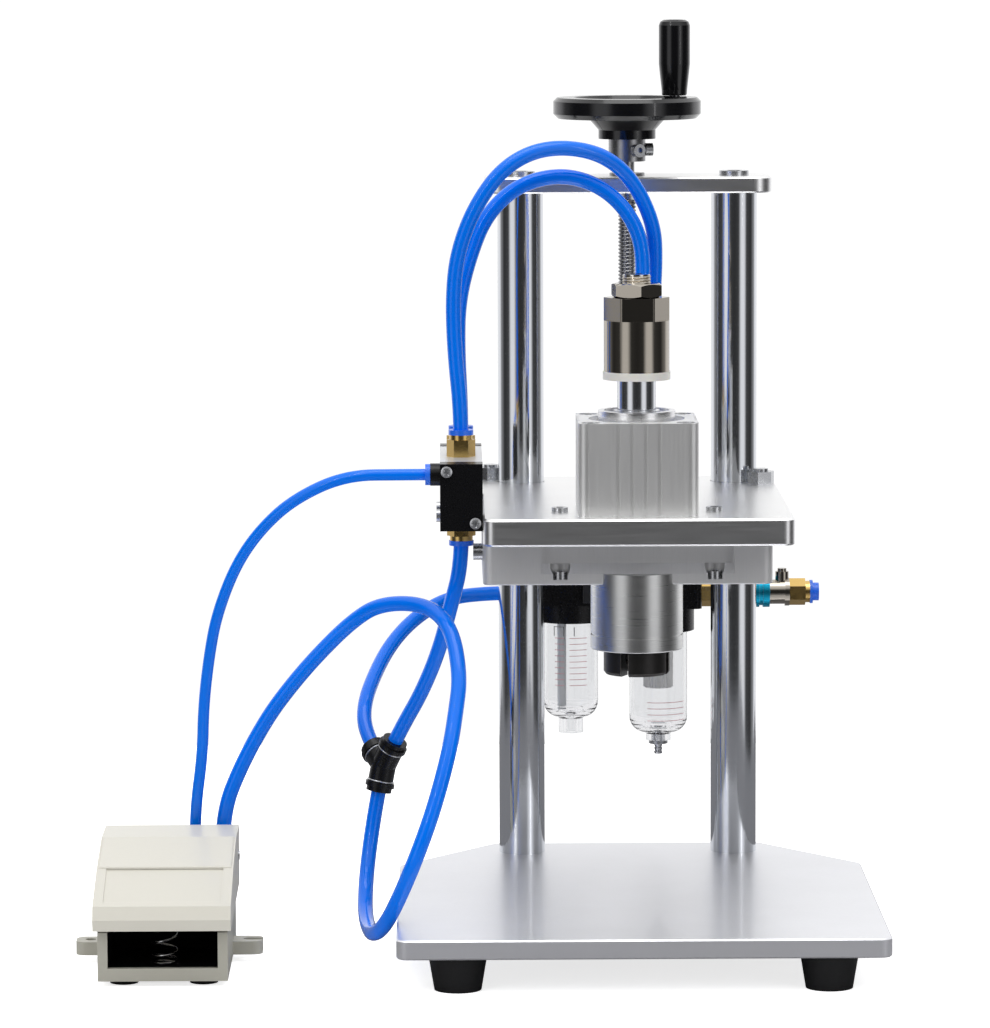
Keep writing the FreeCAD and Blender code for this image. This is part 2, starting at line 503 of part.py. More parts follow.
# ---- pilot valve -------------------------------------------------------------------------------------------
VALVE_SCREWS_Y, VALVE_SCREW_Z = (-129.0, -93.0), 228.5
PORTS = [(VALVE_Y - PORT_PITCH / 2, 1), (VALVE_Y + PORT_PITCH / 2, 1), (VALVE_Y, -1)]
HEX_AF, HEX_LONG, RELEASE = 13.0, 11.4, 2.6
SPOOL_Z = VALVE_Z + 20.5
PILOT_Y, PILOT_Z = VALVE_FRONT + 6.0, VALVE_Z + 28.4


def valve_body():
    half, long = VALVE_WIDTH / 2, VALVE_LENGTH - 2 * CAP_LENGTH
    y0 = VALVE_Y - long / 2
    body = box(VALVE_X - half, VALVE_X + half, y0, y0 + long, VALVE_Z, VALVE_TOP)
    body = body.cut(cyl(SPOOL_DIA + 2 * FIT, long, (VALVE_X, y0, SPOOL_Z), Y))
    for y, up in PORTS:
        body = body.cut(cyl(8, 8, (VALVE_X, y, VALVE_TOP if up > 0 else VALVE_Z), -Z * up))
    for y in (VALVE_Y - PORT_PITCH, VALVE_Y + PORT_PITCH):
        body = body.cut(cyl(7, 8, (VALVE_X, y, VALVE_Z)))
    for y in VALVE_SCREWS_Y:
        body = body.cut(cyl(4, VALVE_WIDTH, (VALVE_X - half, y, VALVE_SCREW_Z), X))
    return body


def valve_end_caps():
    half = VALVE_WIDTH / 2
    caps = []
    for y0 in (VALVE_FRONT, VALVE_FRONT + VALVE_LENGTH - CAP_LENGTH):
        cap = box(VALVE_X - half, VALVE_X + half, y0, y0 + CAP_LENGTH, VALVE_Z - 0.5, VALVE_TOP + 0.3)
        inner = y0 + CAP_LENGTH - 6 if y0 == VALVE_FRONT else y0
        cap = cap.cut(cyl(SPOOL_DIA + 2 * FIT, 6, (VALVE_X, inner, SPOOL_Z), Y))
        caps.append(cap)
    for dx, dz in CAP_SCREWS:
        caps[0] = caps[0].cut(cyl(3, 8, (VALVE_X + dx, VALVE_FRONT, VALVE_Z + dz), Y))
    caps[0] = caps[0].cut(cyl(8, 1.5, (VALVE_X - half, PILOT_Y, PILOT_Z), X))
    return caps


def valve_spool():
    long = VALVE_LENGTH - 2 * CAP_LENGTH + 2 * 6 - 2 * SPOOL_TRAVEL - 1
    spool = cyl(SPOOL_DIA, long, (VALVE_X, VALVE_Y - long / 2, SPOOL_Z), Y)
    for y in (-26, -13, 0, 13, 26):
        spool = spool.cut(ring(SPOOL_DIA, SPOOL_DIA - 4, 5, (VALVE_X, VALVE_Y + y - 2.5, SPOOL_Z), Y))
    return spool


# ---- push-in fittings -----------------------------------------------------------------------------------------
def straight_fitting(at, axis, tube=TUBE):
    """Brass stem and hexagon; at is the face it is screwed to, axis points to the tube."""
    at = V(*at)
    body = prism(6, HEX_AF, HEX_LONG - 2.5, at, axis).fuse(cyl(HEX_AF - 1, HEX_LONG, at, axis))
    return body.fuse(cyl(7.9, 6, at - axis * 6, axis)).cut(cyl(tube + 2 * FIT, HEX_LONG - 3, at + axis * 3, axis))


def release_ring(at, axis, tube=TUBE):
    return ring(tube + 5, tube + 2 * FIT, RELEASE, at, axis)


def elbow(x, y, z, back, rise, tube=TUBE):
    """Stem from the face at y - back to the riser at y, which opens upwards at z + rise."""
    body = cyl(12.6, rise - RELEASE + 6, (x, y, z - 6)).fuse(cyl(12, back, (x, y - back, z), Y))
    return body.fuse(cyl(4.9, 4, (x, y - back - 4, z), Y)).cut(cyl(tube + 2 * FIT, rise - 3, (x, y, z + 3)))


HEAD_FACE = -HEAD_Y + CYL_SIDE / 2


def elbow_fittings():
    bodies = [elbow(x, y, z, y - HEAD_FACE, ELBOW_RISE) for x, y, z in HEAD_ELBOWS]
    left = VALVE_X - VALVE_WIDTH / 2
    pilot = cyl(11.6, 5, (left, PILOT_Y, PILOT_Z), -X).fuse(cyl(8, 1.5, (left, PILOT_Y, PILOT_Z), X))
    return bodies + [pilot.cut(cyl(PILOT_TUBE + 2 * FIT, 5, (left - 5, PILOT_Y, PILOT_Z), X))]


def brass_fittings():
    fittings = [straight_fitting((VALVE_X, y, VALVE_TOP if up > 0 else VALVE_Z), Z * up) for y, up in PORTS]
    outlet = OILER_X - OILER_WIDTH / 2
    fittings.append(straight_fitting((outlet, UNIT_Y, AIR_Z), -X))
    inlet = SLIDER_END
    fittings.append(straight_fitting((inlet, UNIT_Y, AIR_Z), X))
    gap0, gap1 = OILER_X + OILER_WIDTH / 2, REG_X - REG_WIDTH / 2
    fittings.append(ring(20, 8, gap1 - gap0, (gap0, UNIT_Y, AIR_Z), X))
    nipple = REG_X + REG_WIDTH / 2
    hexagon = prism(6, 14, 8, (nipple, UNIT_Y, AIR_Z), X).fuse(cyl(12, SLIDER_START - nipple, (nipple, UNIT_Y, AIR_Z), X))
    fittings.append(hexagon.cut(cyl(7, SLIDER_START - nipple, (nipple, UNIT_Y, AIR_Z), X)))
    return fittings


def release_rings():
    rings = [release_ring((VALVE_X, y, VALVE_TOP + HEX_LONG if up > 0 else VALVE_Z - HEX_LONG), Z * up)
             for y, up in PORTS]
    rings += [release_ring((x, y, z + ELBOW_RISE - RELEASE), Z) for x, y, z in HEAD_ELBOWS]
    rings.append(release_ring((OILER_X - OILER_WIDTH / 2 - HEX_LONG, UNIT_Y, AIR_Z), -X))
    rings.append(release_ring((VALVE_X - VALVE_WIDTH / 2 - 5, PILOT_Y, PILOT_Z), -X, PILOT_TUBE))
    inlet = (SLIDER_END + HEX_LONG, UNIT_Y, AIR_Z)
    rings.append(ring(TUBE + 5, TUBE + 2 * FIT, 1.6, inlet, X).fuse(ring(TUBE + 2, TUBE + 2 * FIT, 5, inlet, X)))
    return rings


# ---- slide valve on the inlet ------------------------------------------------------------------------------------
SLIDER_START, SLIDER_END, SLIDER_RING_X, SLIDER_RING_LONG = 64.0, 91.5, 71.0, 9.5


def slide_valve_body():
    body = cyl(13.6, SLIDER_END - SLIDER_START, (SLIDER_START, UNIT_Y, AIR_Z), X)
    body = body.fuse(cyl(16, 2.2, (SLIDER_START, UNIT_Y, AIR_Z), X))
    body = body.fuse(cyl(15.6, 2.6, (SLIDER_END - 2.6, UNIT_Y, AIR_Z), X))
    boss = SLIDER_END - 4.0
    body = body.fuse(cyl(7.5, 11.5, (boss, UNIT_Y, AIR_Z))).fuse(cyl(5, 13.2, (boss, UNIT_Y, AIR_Z)))
    return body.cut(cyl(8, SLIDER_END - SLIDER_START, (SLIDER_START, UNIT_Y, AIR_Z), X))


def slide_valve_ring():
    at = (SLIDER_RING_X, UNIT_Y, AIR_Z)
    body = ring(17, 13.6 + 2 * GAP, SLIDER_RING_LONG, at, X)
    return body.cut(ring(18, 15, 2, (SLIDER_RING_X + SLIDER_RING_LONG / 2 - 1, UNIT_Y, AIR_Z), X))


# ---- filter, regulator and lubricator ------------------------------------------------------------------------------
BODY_TOP, OILER_BODY_Z, REG_BODY_Z = 182.0, 160.0, 158.0
OILER_COLLAR_Z, REG_COLLAR_Z = 150.0, 144.5
OILER_SHOULDER_Z, REG_SHOULDER_Z = 105.0, 96.0
OILER_BOWL_Z, REG_BOWL_Z, NECK_DIA = 87.0, 82.4, 13.7
BRACKET_SCREWS_X, BRACKET_SCREW_Z = (-18.0, 2.0), 225.5


def unit_body(x, width, z):
    half = UNIT_DEPTH / 2
    body = rounded(box(x - width / 2, x + width / 2, UNIT_Y - half, UNIT_Y + half, z, BODY_TOP), 4.0)
    body = body.cut(cyl(9, width, (x - width / 2, UNIT_Y, AIR_Z), X))
    return bevelled(body, 1.0, BODY_TOP)


def filter_regulator_body():
    body = unit_body(REG_X, REG_WIDTH, REG_BODY_Z)
    bonnet = cone(36, 31, 8, (REG_X, UNIT_Y, BODY_TOP)).fuse(cyl(22, 10, (REG_X, UNIT_Y, BODY_TOP)))
    return body.fuse(bonnet)


def lubricator_body():
    body = unit_body(OILER_X, OILER_WIDTH, OILER_BODY_Z)
    return body.fuse(cyl(24, 3, (OILER_X, UNIT_Y, BODY_TOP)))


def bowl_collars():
    left = ring(OILER_WIDTH - 4, OILER_BOWL_DIA, OILER_BODY_Z - OILER_COLLAR_Z, (OILER_X, UNIT_Y, OILER_COLLAR_Z))
    right = ring(UNIT_DEPTH, REG_BOWL_DIA, REG_BODY_Z - REG_COLLAR_Z, (REG_X, UNIT_Y, REG_COLLAR_Z))
    return [left, right]


def bowl(x, dia, top, shoulder, foot_z, bore):
    """A clear bowl: a wall, a rounded shoulder and a neck."""
    r, neck, wall = dia / 2, NECK_DIA / 2, BOWL_WALL
    arc = [(r - (r - neck - 1) * (1 - math.cos(a)), shoulder - 9 * math.sin(a))
           for a in (math.radians(15 * k) for k in range(7))]
    inner = [(q - wall * (0.6 if k == 6 else 0.9), z + wall * (0.3 + k / 12)) for k, (q, z) in enumerate(arc)]
    outer_side = [(r, top)] + arc + [(neck, arc[-1][1] - 1), (neck, foot_z)]
    inner_side = [(bore, foot_z)] + [(bore, inner[-1][1])] + inner[::-1] + [(r - wall, top)]
    return turned(outer_side + inner_side, (x, UNIT_Y))


def clear_bowls():
    left = bowl(OILER_X, OILER_BOWL_DIA, OILER_BODY_Z, OILER_SHOULDER_Z, OILER_BOWL_Z, 3.0)
    right = bowl(REG_X, REG_BOWL_DIA, REG_BODY_Z, REG_SHOULDER_Z, REG_BOWL_Z, 4.0)
    z = BODY_TOP + 3
    dome = turned([(3.2, z), (9.5, z), (9.5, z + 9), (8.3, z + 12), (6, z + 13.5), (3.2, z + 13.5), (3.2, z + 12),
                   (6, z + 11.5), (7.5, z + 8.5), (7.5, z + 2), (3.2, z + 2)], (OILER_X, UNIT_Y))
    return [left, right, dome]


def regulator_knob():
    z, r = BODY_TOP + 8 + GAP, KNOB_DIA / 2
    knob = turned([(0, z), (r, z), (r, z + 2), (r - 1, z + 3), (r - 1.2, z + KNOB_HEIGHT - 3), (r - 3, z + KNOB_HEIGHT),
                   (0, z + KNOB_HEIGHT)], (REG_X, UNIT_Y))
    knob = knob.cut(cyl(22.6 + 2 * GAP, 2.5, (REG_X, UNIT_Y, z)))
    for k in range(12):
        a = math.radians(30 * k)
        groove = cyl(2.4, KNOB_HEIGHT - 8, (REG_X + r * math.cos(a), UNIT_Y + r * math.sin(a), z + 4))
        knob = knob.cut(groove)
    return knob


def needle_screw():
    z = BODY_TOP + 3 + 13.5 + GAP
    head = turned([(0, z), (4.5, z), (4.5, z + 4), (3.8, z + 5), (0, z + 5)], (OILER_X, UNIT_Y))
    head = head.fuse(cyl(6.4 - 2 * FIT, 12, (OILER_X, UNIT_Y, z - 12)))
    return head.cut(box(OILER_X - 4.6, OILER_X + 4.6, UNIT_Y - 0.5, UNIT_Y + 0.5, z + 3.8, z + 5.1))


def drain_valve():
    """Drain stem in the neck of the filter bowl, with its hose barb below."""
    z = REG_BOWL_Z
    stem = turned([(0, z - 8), (2.2, z - 8), (2.4, z - 6.6), (1.9, z - 6.4), (2.4, z - 4.6), (1.9, z - 4.4),
                   (2.4, z - 2.6), (1.9, z - 2.4), (1.9, z - 2.2), (5.2, z - 2.2), (5.2, z - GAP), (3.9, z - GAP),
                   (3.9, z + 7), (0, z + 7)], (REG_X, UNIT_Y))
    return stem.cut(cyl(1.6, 7, (REG_X, UNIT_Y, z - 8)))


def unit_bracket():
    width = 36.0
    x0 = (REG_X + OILER_X) / 2 - width / 2
    plate = box(x0, x0 + width, PLATE_REAR, PLATE_REAR + BRACKET_THICK, OILER_BODY_Z + 2, PLATE_TOP - 1)
    for x in BRACKET_SCREWS_X:
        plate = plate.cut(cyl(4, BRACKET_THICK, (x, PLATE_REAR, BRACKET_SCREW_Z), Y))
    return plate


# ---- branch piece in the air line -----------------------------------------------------------------
BRANCH = V(-133.0, -75.0, 88.5)
ARM_DOWN, ARM_UP, ARM_SIDE = V(-0.19, -0.03, -0.98), V(0.40, -0.32, 0.86), V(-0.42, 0.68, 0.60)
for arm in (ARM_DOWN, ARM_UP, ARM_SIDE):
    arm.normalize()
ARMS = [(ARM_DOWN, 14.5), (ARM_UP, 16.0), (ARM_SIDE, 14.0)]
TUBE_SEAT = 8.0                              # how far a tube goes into its fitting


def branch_connector():
    solids = [Part.makeSphere(6.8, BRANCH)]
    for axis, long in ARMS:
        solids += [cyl(13.6, long, BRANCH, axis), cyl(15.6, 2.4, BRANCH + axis * (long - 5), axis)]
    body = solids[0].fuse(solids[1:])
    for axis, long in ARMS:
        body = body.cut(cyl(TUBE + 2 * FIT, TUBE_SEAT + 1, BRANCH + axis * (long - TUBE_SEAT - 1), axis))
    return body


# ---- air tubes ----------------------------------------------------------------------------------------
FIRST_RUN = 18.0
PORT_OUT = HEX_LONG + RELEASE - TUBE_SEAT
ROUTES = {
    "supply_front": [
    (-94, -122, 312), (-95, -121.5, 341.5), (-92.5, -122, 365.5), (-83, -122, 390), (-67.5, -120, 410.5),
    (-46, -114, 420), (-19, -105.5, 417), (-1, -96.5, 403), (11, -91.5, 378.5), (12, -87.5, 356.5),
    (10, -86, 328.5), (5.5, -84.5, 305)],
    "supply_rear": [
    (-92.5, -100, 312.5), (-92, -100, 337.5), (-86.5, -100, 360.5), (-77, -100, 384.5),
    (-58.5, -100, 400.5), (-34, -100, 405), (-11, -100, 395), (3.5, -100, 374.5), (5.5, -100, 350),
    (2, -100, 325)],
    "pilot": [
    (-151, -154, 252.5), (-178, -148.5, 239.5), (-196, -141.5, 222.5), (-209, -135, 203),
    (-219, -129.5, 177), (-223.5, -123, 154.5), (-227, -117, 127), (-228, -111, 100.5)],
    "valve_feed": [
    (-96.5, -109, 179), (-103, -102, 153.5), (-112.5, -93, 129.5)],
    "unit_feed": [
    (-98.5, 38.5, 163.5), (-115.5, 21, 155.5), (-128, 3, 145), (-136.5, -16.5, 133), (-144, -44, 117)],
    "pedal_feed": [
    (-142, -85.5, 35.5), (-143, -105, 18.5), (-142, -123, 13), (-140, -143.5, 12), (-138, -166, 14),
    (-133.5, -189, 20.5), (-127.5, -208.5, 33), (-119, -219, 53.5), (-111, -220.5, 74),
    (-104.5, -215, 92.5), (-97.5, -206, 117.5), (-94.5, -196, 134.5), (-92, -184.5, 152),
    (-96.5, -165.5, 175), (-109.5, -143.5, 184), (-133.5, -125, 182), (-149, -114.5, 171),
    (-167.5, -112.5, 152.5), (-182, -111.5, 135.5), (-194, -109, 119), (-207.5, -108, 94.5)],
}


def route(name, start, away, end, into):
    """Both ends run straight out of their fittings; the points between are the lie of the tube."""
    start, end = V(*start), V(*end)
    return [start, start + away * FIRST_RUN] + ROUTES[name] + [end - into * FIRST_RUN, end]


def tube_routes():
    port_z = VALVE_TOP + PORT_OUT
    lower_z = VALVE_Z - PORT_OUT
    head = [(x, y, z + ELBOW_RISE - TUBE_SEAT) for x, y, z in HEAD_ELBOWS]
    pedal = [(x, PEDAL_REAR + PEDAL_ELBOW_OUT, PEDAL_ELBOW_Z + PEDAL_RISE - TUBE_SEAT) for x, _ in PEDAL_ELBOWS]
    tip = [BRANCH + axis * (long - TUBE_SEAT) for axis, long in ARMS]
    pilot = (VALVE_X - VALVE_WIDTH / 2 - 5 - RELEASE + TUBE_SEAT - 1.4, PILOT_Y, PILOT_Z)
    outlet = (OILER_X - OILER_WIDTH / 2 - PORT_OUT, UNIT_Y, AIR_Z)
    return {
        "tube_front": (route("supply_front", (VALVE_X, PORTS[0][0], port_z), Z, head[1], -Z), TUBE),
        "tube_rear": (route("supply_rear", (VALVE_X, PORTS[1][0], port_z), Z, head[0], -Z), TUBE),
        "tube_pilot": (route("pilot", pilot, -X, pedal[0], -Z), PILOT_TUBE),
        "tube_valve": (route("valve_feed", (VALVE_X, VALVE_Y, lower_z), -Z, tip[1], -ARM_UP), TUBE),
        "tube_unit": (route("unit_feed", outlet, -X, tip[2], -ARM_SIDE), TUBE),
        "tube_pedal": (route("pedal_feed", tip[0], ARM_DOWN, pedal[1], -Z), TUBE),
    }


# ---- foot pedal -----------------------------------------------------------------------------------------
PEDAL_RISE = 17.0
HALF_BASE, HALF_LID = PEDAL_WIDTH / 2, LID_WIDTH / 2
SILL_Z, OPENING_HALF, POST_Z, BASE_LIP = 9.6, 28.0, 28.0, 8.5
REAR_WALL_Z, EAR_Z, EAR_THICK, EAR_Y, EAR_WIDE = 50.0, 4.0, 7.0, -160.0, 16.0
SPRING_Y, SPRING_DIA, SPRING_BORE, SPRING_TOP = -205.0, 12.0, 8.6, 49.6
FLOOR_Z = PEDAL_FOOT + PEDAL_FLOOR
PLUNGER_X, PLUNGER_Y, PLUNGER_DIA = PEDAL_X + 16.0, -152.0, 6.0
PEDAL_VALVE_TOP = 46.0
LID = [(-238.0, 30.0), (PEDAL_FRONT, 36.0), (-237.0, 42.6), (-200.0, 55.6), (-160.0, 64.5), (PEDAL_REAR, 64.5)]
LID_TOP, LID_SKIRT_Z = 64.5, 34.0
PEDAL_FEET = [(PEDAL_X + sx * 20.3, y) for sx in (-1, 1) for y in (-218.0, -138.0)]


def pedal_base():
    left, right, front = PEDAL_X - HALF_BASE, PEDAL_X + HALF_BASE, PEDAL_FRONT + BASE_LIP
    wall_top = [(front, PEDAL_FOOT), (front, POST_Z), (-190.0, 38.0), (-150.0, 47.0), (PIN_Y - 7, PIN_Z + 6),
                (PEDAL_REAR, PIN_Z + 6), (PEDAL_REAR, PEDAL_FOOT)]
    shell = side_on(wall_top, left, right)
    inner = box(left + PEDAL_WALL, right - PEDAL_WALL, front + PEDAL_WALL, PEDAL_REAR - PEDAL_WALL, FLOOR_Z, 80)
    shell = shell.cut(inner)
    opening = box(PEDAL_X - OPENING_HALF, PEDAL_X + OPENING_HALF, front - 1, front + PEDAL_WALL + 1, SILL_Z, 80)
    shell = shell.cut(opening)
    shell = shell.cut(box(left + PEDAL_WALL, right - PEDAL_WALL, -130, -120, REAR_WALL_Z, 80))
    for side in (-1, 1):
        x0, x1 = sorted([PEDAL_X + side * (HALF_BASE - 1), PEDAL_X + side * EAR_SPAN / 2])
        ear = box(x0, x1, EAR_Y - EAR_WIDE / 2, EAR_Y + EAR_WIDE / 2, EAR_Z, EAR_Z + EAR_THICK)
        outer = PEDAL_X + side * EAR_SPAN / 2
        ear = ear.makeFillet(5, [e for e in uprights(ear) if abs(e.Vertexes[0].X - outer) < 0.1])
        shell = shell.fuse(ear)
    hole_x = PEDAL_X - EAR_SPAN / 2 + 7.5
    slot_x = PEDAL_X + EAR_SPAN / 2 - 7.5
    shell = shell.cut(cyl(EAR_HOLE, EAR_THICK, (hole_x, EAR_Y, EAR_Z)))
    shell = shell.cut(cyl(EAR_HOLE, EAR_THICK, (slot_x, EAR_Y, EAR_Z)))
    shell = shell.cut(box(slot_x, slot_x + 12, EAR_Y - EAR_HOLE / 2, EAR_Y + EAR_HOLE / 2, EAR_Z, EAR_Z + EAR_THICK))
    shell = shell.cut(cyl(PIN_DIA, PEDAL_WIDTH, (left, PIN_Y, PIN_Z), X))
    for x, y in PEDAL_FEET:
        shell = shell.cut(cyl(4, PEDAL_FLOOR, (x, y, PEDAL_FOOT)))
    for x, _ in PEDAL_ELBOWS:
        shell = shell.cut(cyl(5, PEDAL_WALL, (x, PEDAL_REAR, PEDAL_ELBOW_Z), -Y))
    return shell


EAR_HOLE = 5.5


def pedal_foot(x, y):
    return cyl(14.5, PEDAL_FOOT, (x, y, 0)).fuse(cyl(4, PEDAL_FLOOR, (x, y, PEDAL_FOOT)))


def pedal_pin():
    half = HALF_LID + 0.6
    return cyl(PIN_DIA, 2 * half, (PEDAL_X - half, PIN_Y, PIN_Z), X)


def pedal_spring():
    return ring(SPRING_DIA, SPRING_BORE, SPRING_TOP - FLOOR_Z, (PEDAL_X, SPRING_Y, FLOOR_Z))


def pedal_valve():
    right = PEDAL_X + HALF_BASE - PEDAL_WALL
    body = box(PEDAL_X + 3, right, -160, PEDAL_REAR - PEDAL_WALL, FLOOR_Z, PEDAL_VALVE_TOP)
    return body.cut(cyl(PLUNGER_DIA + 2 * FIT, 14, (PLUNGER_X, PLUNGER_Y, PEDAL_VALVE_TOP - 14)))


def pedal_plunger():
    """It stands just under the lid, and keeps clear of it through the whole travel."""
    low = PEDAL_VALVE_TOP - 10
    return cyl(PLUNGER_DIA, LID_TOP - LID_WALL - 1.0 - low, (PLUNGER_X, PLUNGER_Y, low))


def pedal_elbows():
    y = PEDAL_REAR + PEDAL_ELBOW_OUT
    solids = []
    for x, tube in PEDAL_ELBOWS:
        wide = tube + 4.6
        body = cyl(wide, PEDAL_RISE - RELEASE + wide / 2, (x, y, PEDAL_ELBOW_Z - wide / 2))
        body = body.fuse(cyl(wide - 0.6, PEDAL_ELBOW_OUT, (x, PEDAL_REAR, PEDAL_ELBOW_Z), Y))
        body = body.fuse(cyl(4.9, 3, (x, PEDAL_REAR - 3, PEDAL_ELBOW_Z), Y))
        solids.append(body.cut(cyl(tube + 2 * FIT, PEDAL_RISE - 3, (x, y, PEDAL_ELBOW_Z + 3))))
    return solids


def pedal_rings():
    y = PEDAL_REAR + PEDAL_ELBOW_OUT
    z = PEDAL_ELBOW_Z + PEDAL_RISE - RELEASE
    return [ring(tube + 4.6, tube + 2 * FIT, RELEASE, (x, y, z)) for x, tube in PEDAL_ELBOWS]


def inset(profile, wall):
    """The same broken line moved down and back by one wall, ends carried on."""
    moved = []
    for k, (y, z) in enumerate(profile):
        before = profile[max(k - 1, 0)] if k else (2 * y - profile[1][0], 2 * z - profile[1][1])
        after = profile[k + 1] if k + 1 < len(profile) else (2 * y - before[0], 2 * z - before[1])
        normals = []
        for a, b in ((before, (y, z)), ((y, z), after)):
            run = V(b[0] - a[0], b[1] - a[1], 0)
            run.normalize()
            normals.append(V(run.y, -run.x, 0))
        mean = normals[0] + normals[1]
        mean.normalize()
        step = wall / mean.dot(normals[0])
        moved.append((y + mean.x * step, z + mean.y * step))
    return moved


def treadle():
    left, right = PEDAL_X - HALF_LID, PEDAL_X + HALF_LID
    skin = side_on(LID + [(PEDAL_REAR, LID_SKIRT_Z)], left, right)
    under = inset(LID, LID_WALL)
    under = [(under[0][0] - 0.3, 20.0)] + under + [(PEDAL_REAR + 1, under[-1][1]), (PEDAL_REAR + 1, 20.0)]
    skin = skin.cut(side_on(under, left + LID_WALL, right - LID_WALL))
    skin = skin.fuse(cyl(SPRING_BORE - 2 * GAP, 7, (PEDAL_X, SPRING_Y, 46.2)))
    panel = inset(LID[2:5], 0.8)
    (y0, z0), (y1, z1), (y2, z2) = panel
    y0, z0 = y0 + 4.0, z0 + 4.0 * (z1 - z0) / (y1 - y0)
    y2, z2 = y2 - 5.0, z2 - 5.0 * (z2 - z1) / (y2 - y1)
    skin = skin.cut(side_on([(y0, z0), (y1, z1), (y2, z2), (y2, z2 + 6), (y0, z0 + 8)], left + 5, right - 5))
    for x0 in (left, right - LID_WALL):
        skin = skin.cut(cyl(PIN_DIA + 2 * FIT, LID_WALL, (x0, PIN_Y, PIN_Z), X))
    return skin


# ---- every piece, by node -------------------------------------------------------------------------------
def nodes():
    solids = {
        "base_plate": [base_plate()],
        "base_feet": [foot(x, y) for x, y in FEET],
        "columns": [column(x, y) for x, y in COLUMNS],
        "stand_screws": [foot_screw(x, y) for x, y in FEET] + [s for x, y in COLUMNS for s in column_screws(x, y)],
        "top_plate": [top_plate()],
        "screw_bearing": [screw_bearing()],
        "lead_screw": [lead_screw()],
        "handwheel_collar": [handwheel_collar()],
        "handwheel": [handwheel()],
        "wheel_hardware": [crank_stud(), screw_lock_nut()] + [collar_screw(axis) for axis in COLLAR_AXES],
        "crank_handle": [crank_handle()],
        "carriage_plate": [carriage_plate()],
        "head_block": [head_block()],
        "column_bushes": [column_bush(x, y) for x, y in COLUMNS],
        "feed_nut": [feed_nut()],
        "clamp_studs": [s for x, y in STUDS for s in clamp_stud(x, y)],
        "carriage_screws": carriage_screws(),
        "cylinder_body": [cylinder_body()],
        "cylinder_gland": [cylinder_gland()],
        "piston_rod": [piston_rod()],
        "piston": [piston(), closing_cup()],
        "bumper_washer": [bumper_washer()],
        "adjuster_sleeve": [adjuster_sleeve()],
        "lock_nut": [lock_nut()],
        "crimp_sleeve": crimp_sleeve(),
        "valve_body": [valve_body()],
        "valve_end_caps": valve_end_caps(),
        "valve_spool": [valve_spool()],
        "brass_fittings": brass_fittings(),
        "elbow_fittings": elbow_fittings(),
        "release_rings": release_rings(),
        "slide_valve_body": [slide_valve_body()],
        "slide_valve_ring": [slide_valve_ring()],
        "filter_regulator": [filter_regulator_body()],
        "lubricator": [lubricator_body()],
        "bowl_collars": bowl_collars(),
        "clear_bowls": clear_bowls(),
        "regulator_knob": [regulator_knob()],
        "needle_screw": [needle_screw()],
        "drain_valve": [drain_valve()],
        "unit_bracket": [unit_bracket()],
        "branch_connector": [branch_connector()],
        "pedal_base": [pedal_base()],
        "pedal_feet": [pedal_foot(x, y) for x, y in PEDAL_FEET],
        "pedal_pin": [pedal_pin()],
        "pedal_spring": [pedal_spring()],
        "pedal_valve": [pedal_valve()],
        "pedal_plunger": [pedal_plunger()],
        "pedal_fittings": pedal_elbows() + pedal_rings(),
        "treadle": [treadle()],
    }
    for number in range(JAWS):
        solids[f"jaw_{number + 1}"] = [jaw(number)]
    return solids


def main():
    os.makedirs("parts", exist_ok=True)
    pieces = nodes()
    for name, (points, dia) in tube_routes().items():
        pieces[name] = [cord(name, points, dia)]
    for name, solids in pieces.items():
        shape = solids[0] if len(solids) == 1 else Part.makeCompound(solids)
        shape = shape.translated(-ORIGIN)
        if not shape.isValid():
            print("not valid:", name)
        shape.exportStep(f"parts/{name}.step")
    print(len(pieces), "nodes")


if __name__ == "__main__":
    main()
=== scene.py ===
import itertools
import logging
import math
from collections.abc import Sequence
from dataclasses import dataclass, field
from enum import Enum

import bmesh
import bpy
import numpy as np
from mathutils import Matrix, Vector


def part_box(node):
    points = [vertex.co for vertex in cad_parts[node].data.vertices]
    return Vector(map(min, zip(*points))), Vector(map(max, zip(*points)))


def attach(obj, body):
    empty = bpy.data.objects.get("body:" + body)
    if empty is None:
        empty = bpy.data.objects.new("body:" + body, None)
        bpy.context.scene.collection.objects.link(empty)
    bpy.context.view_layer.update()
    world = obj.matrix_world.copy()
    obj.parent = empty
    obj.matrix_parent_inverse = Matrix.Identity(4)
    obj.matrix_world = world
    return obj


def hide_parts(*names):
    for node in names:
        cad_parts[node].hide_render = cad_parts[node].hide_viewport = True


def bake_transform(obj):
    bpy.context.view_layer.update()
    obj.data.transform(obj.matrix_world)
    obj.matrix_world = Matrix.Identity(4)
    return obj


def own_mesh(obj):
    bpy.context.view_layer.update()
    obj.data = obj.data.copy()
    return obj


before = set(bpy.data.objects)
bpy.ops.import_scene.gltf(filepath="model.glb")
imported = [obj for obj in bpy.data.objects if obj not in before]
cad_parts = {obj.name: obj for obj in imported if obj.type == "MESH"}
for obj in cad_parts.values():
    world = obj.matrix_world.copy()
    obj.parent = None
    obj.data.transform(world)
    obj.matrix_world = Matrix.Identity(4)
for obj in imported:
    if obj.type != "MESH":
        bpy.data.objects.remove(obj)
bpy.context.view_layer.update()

log = logging.getLogger("capping_machine")
Point = tuple[float, float, float]
Sheet = tuple[np.ndarray, bool, bool]


# ---- surfaces -------------------------------------------------------------------------------------
def unit(v: np.ndarray) -> np.ndarray:
    """Every vector of an array scaled to length one."""
    return v / np.maximum(np.linalg.norm(v, axis=-1, keepdims=True), 1e-12)


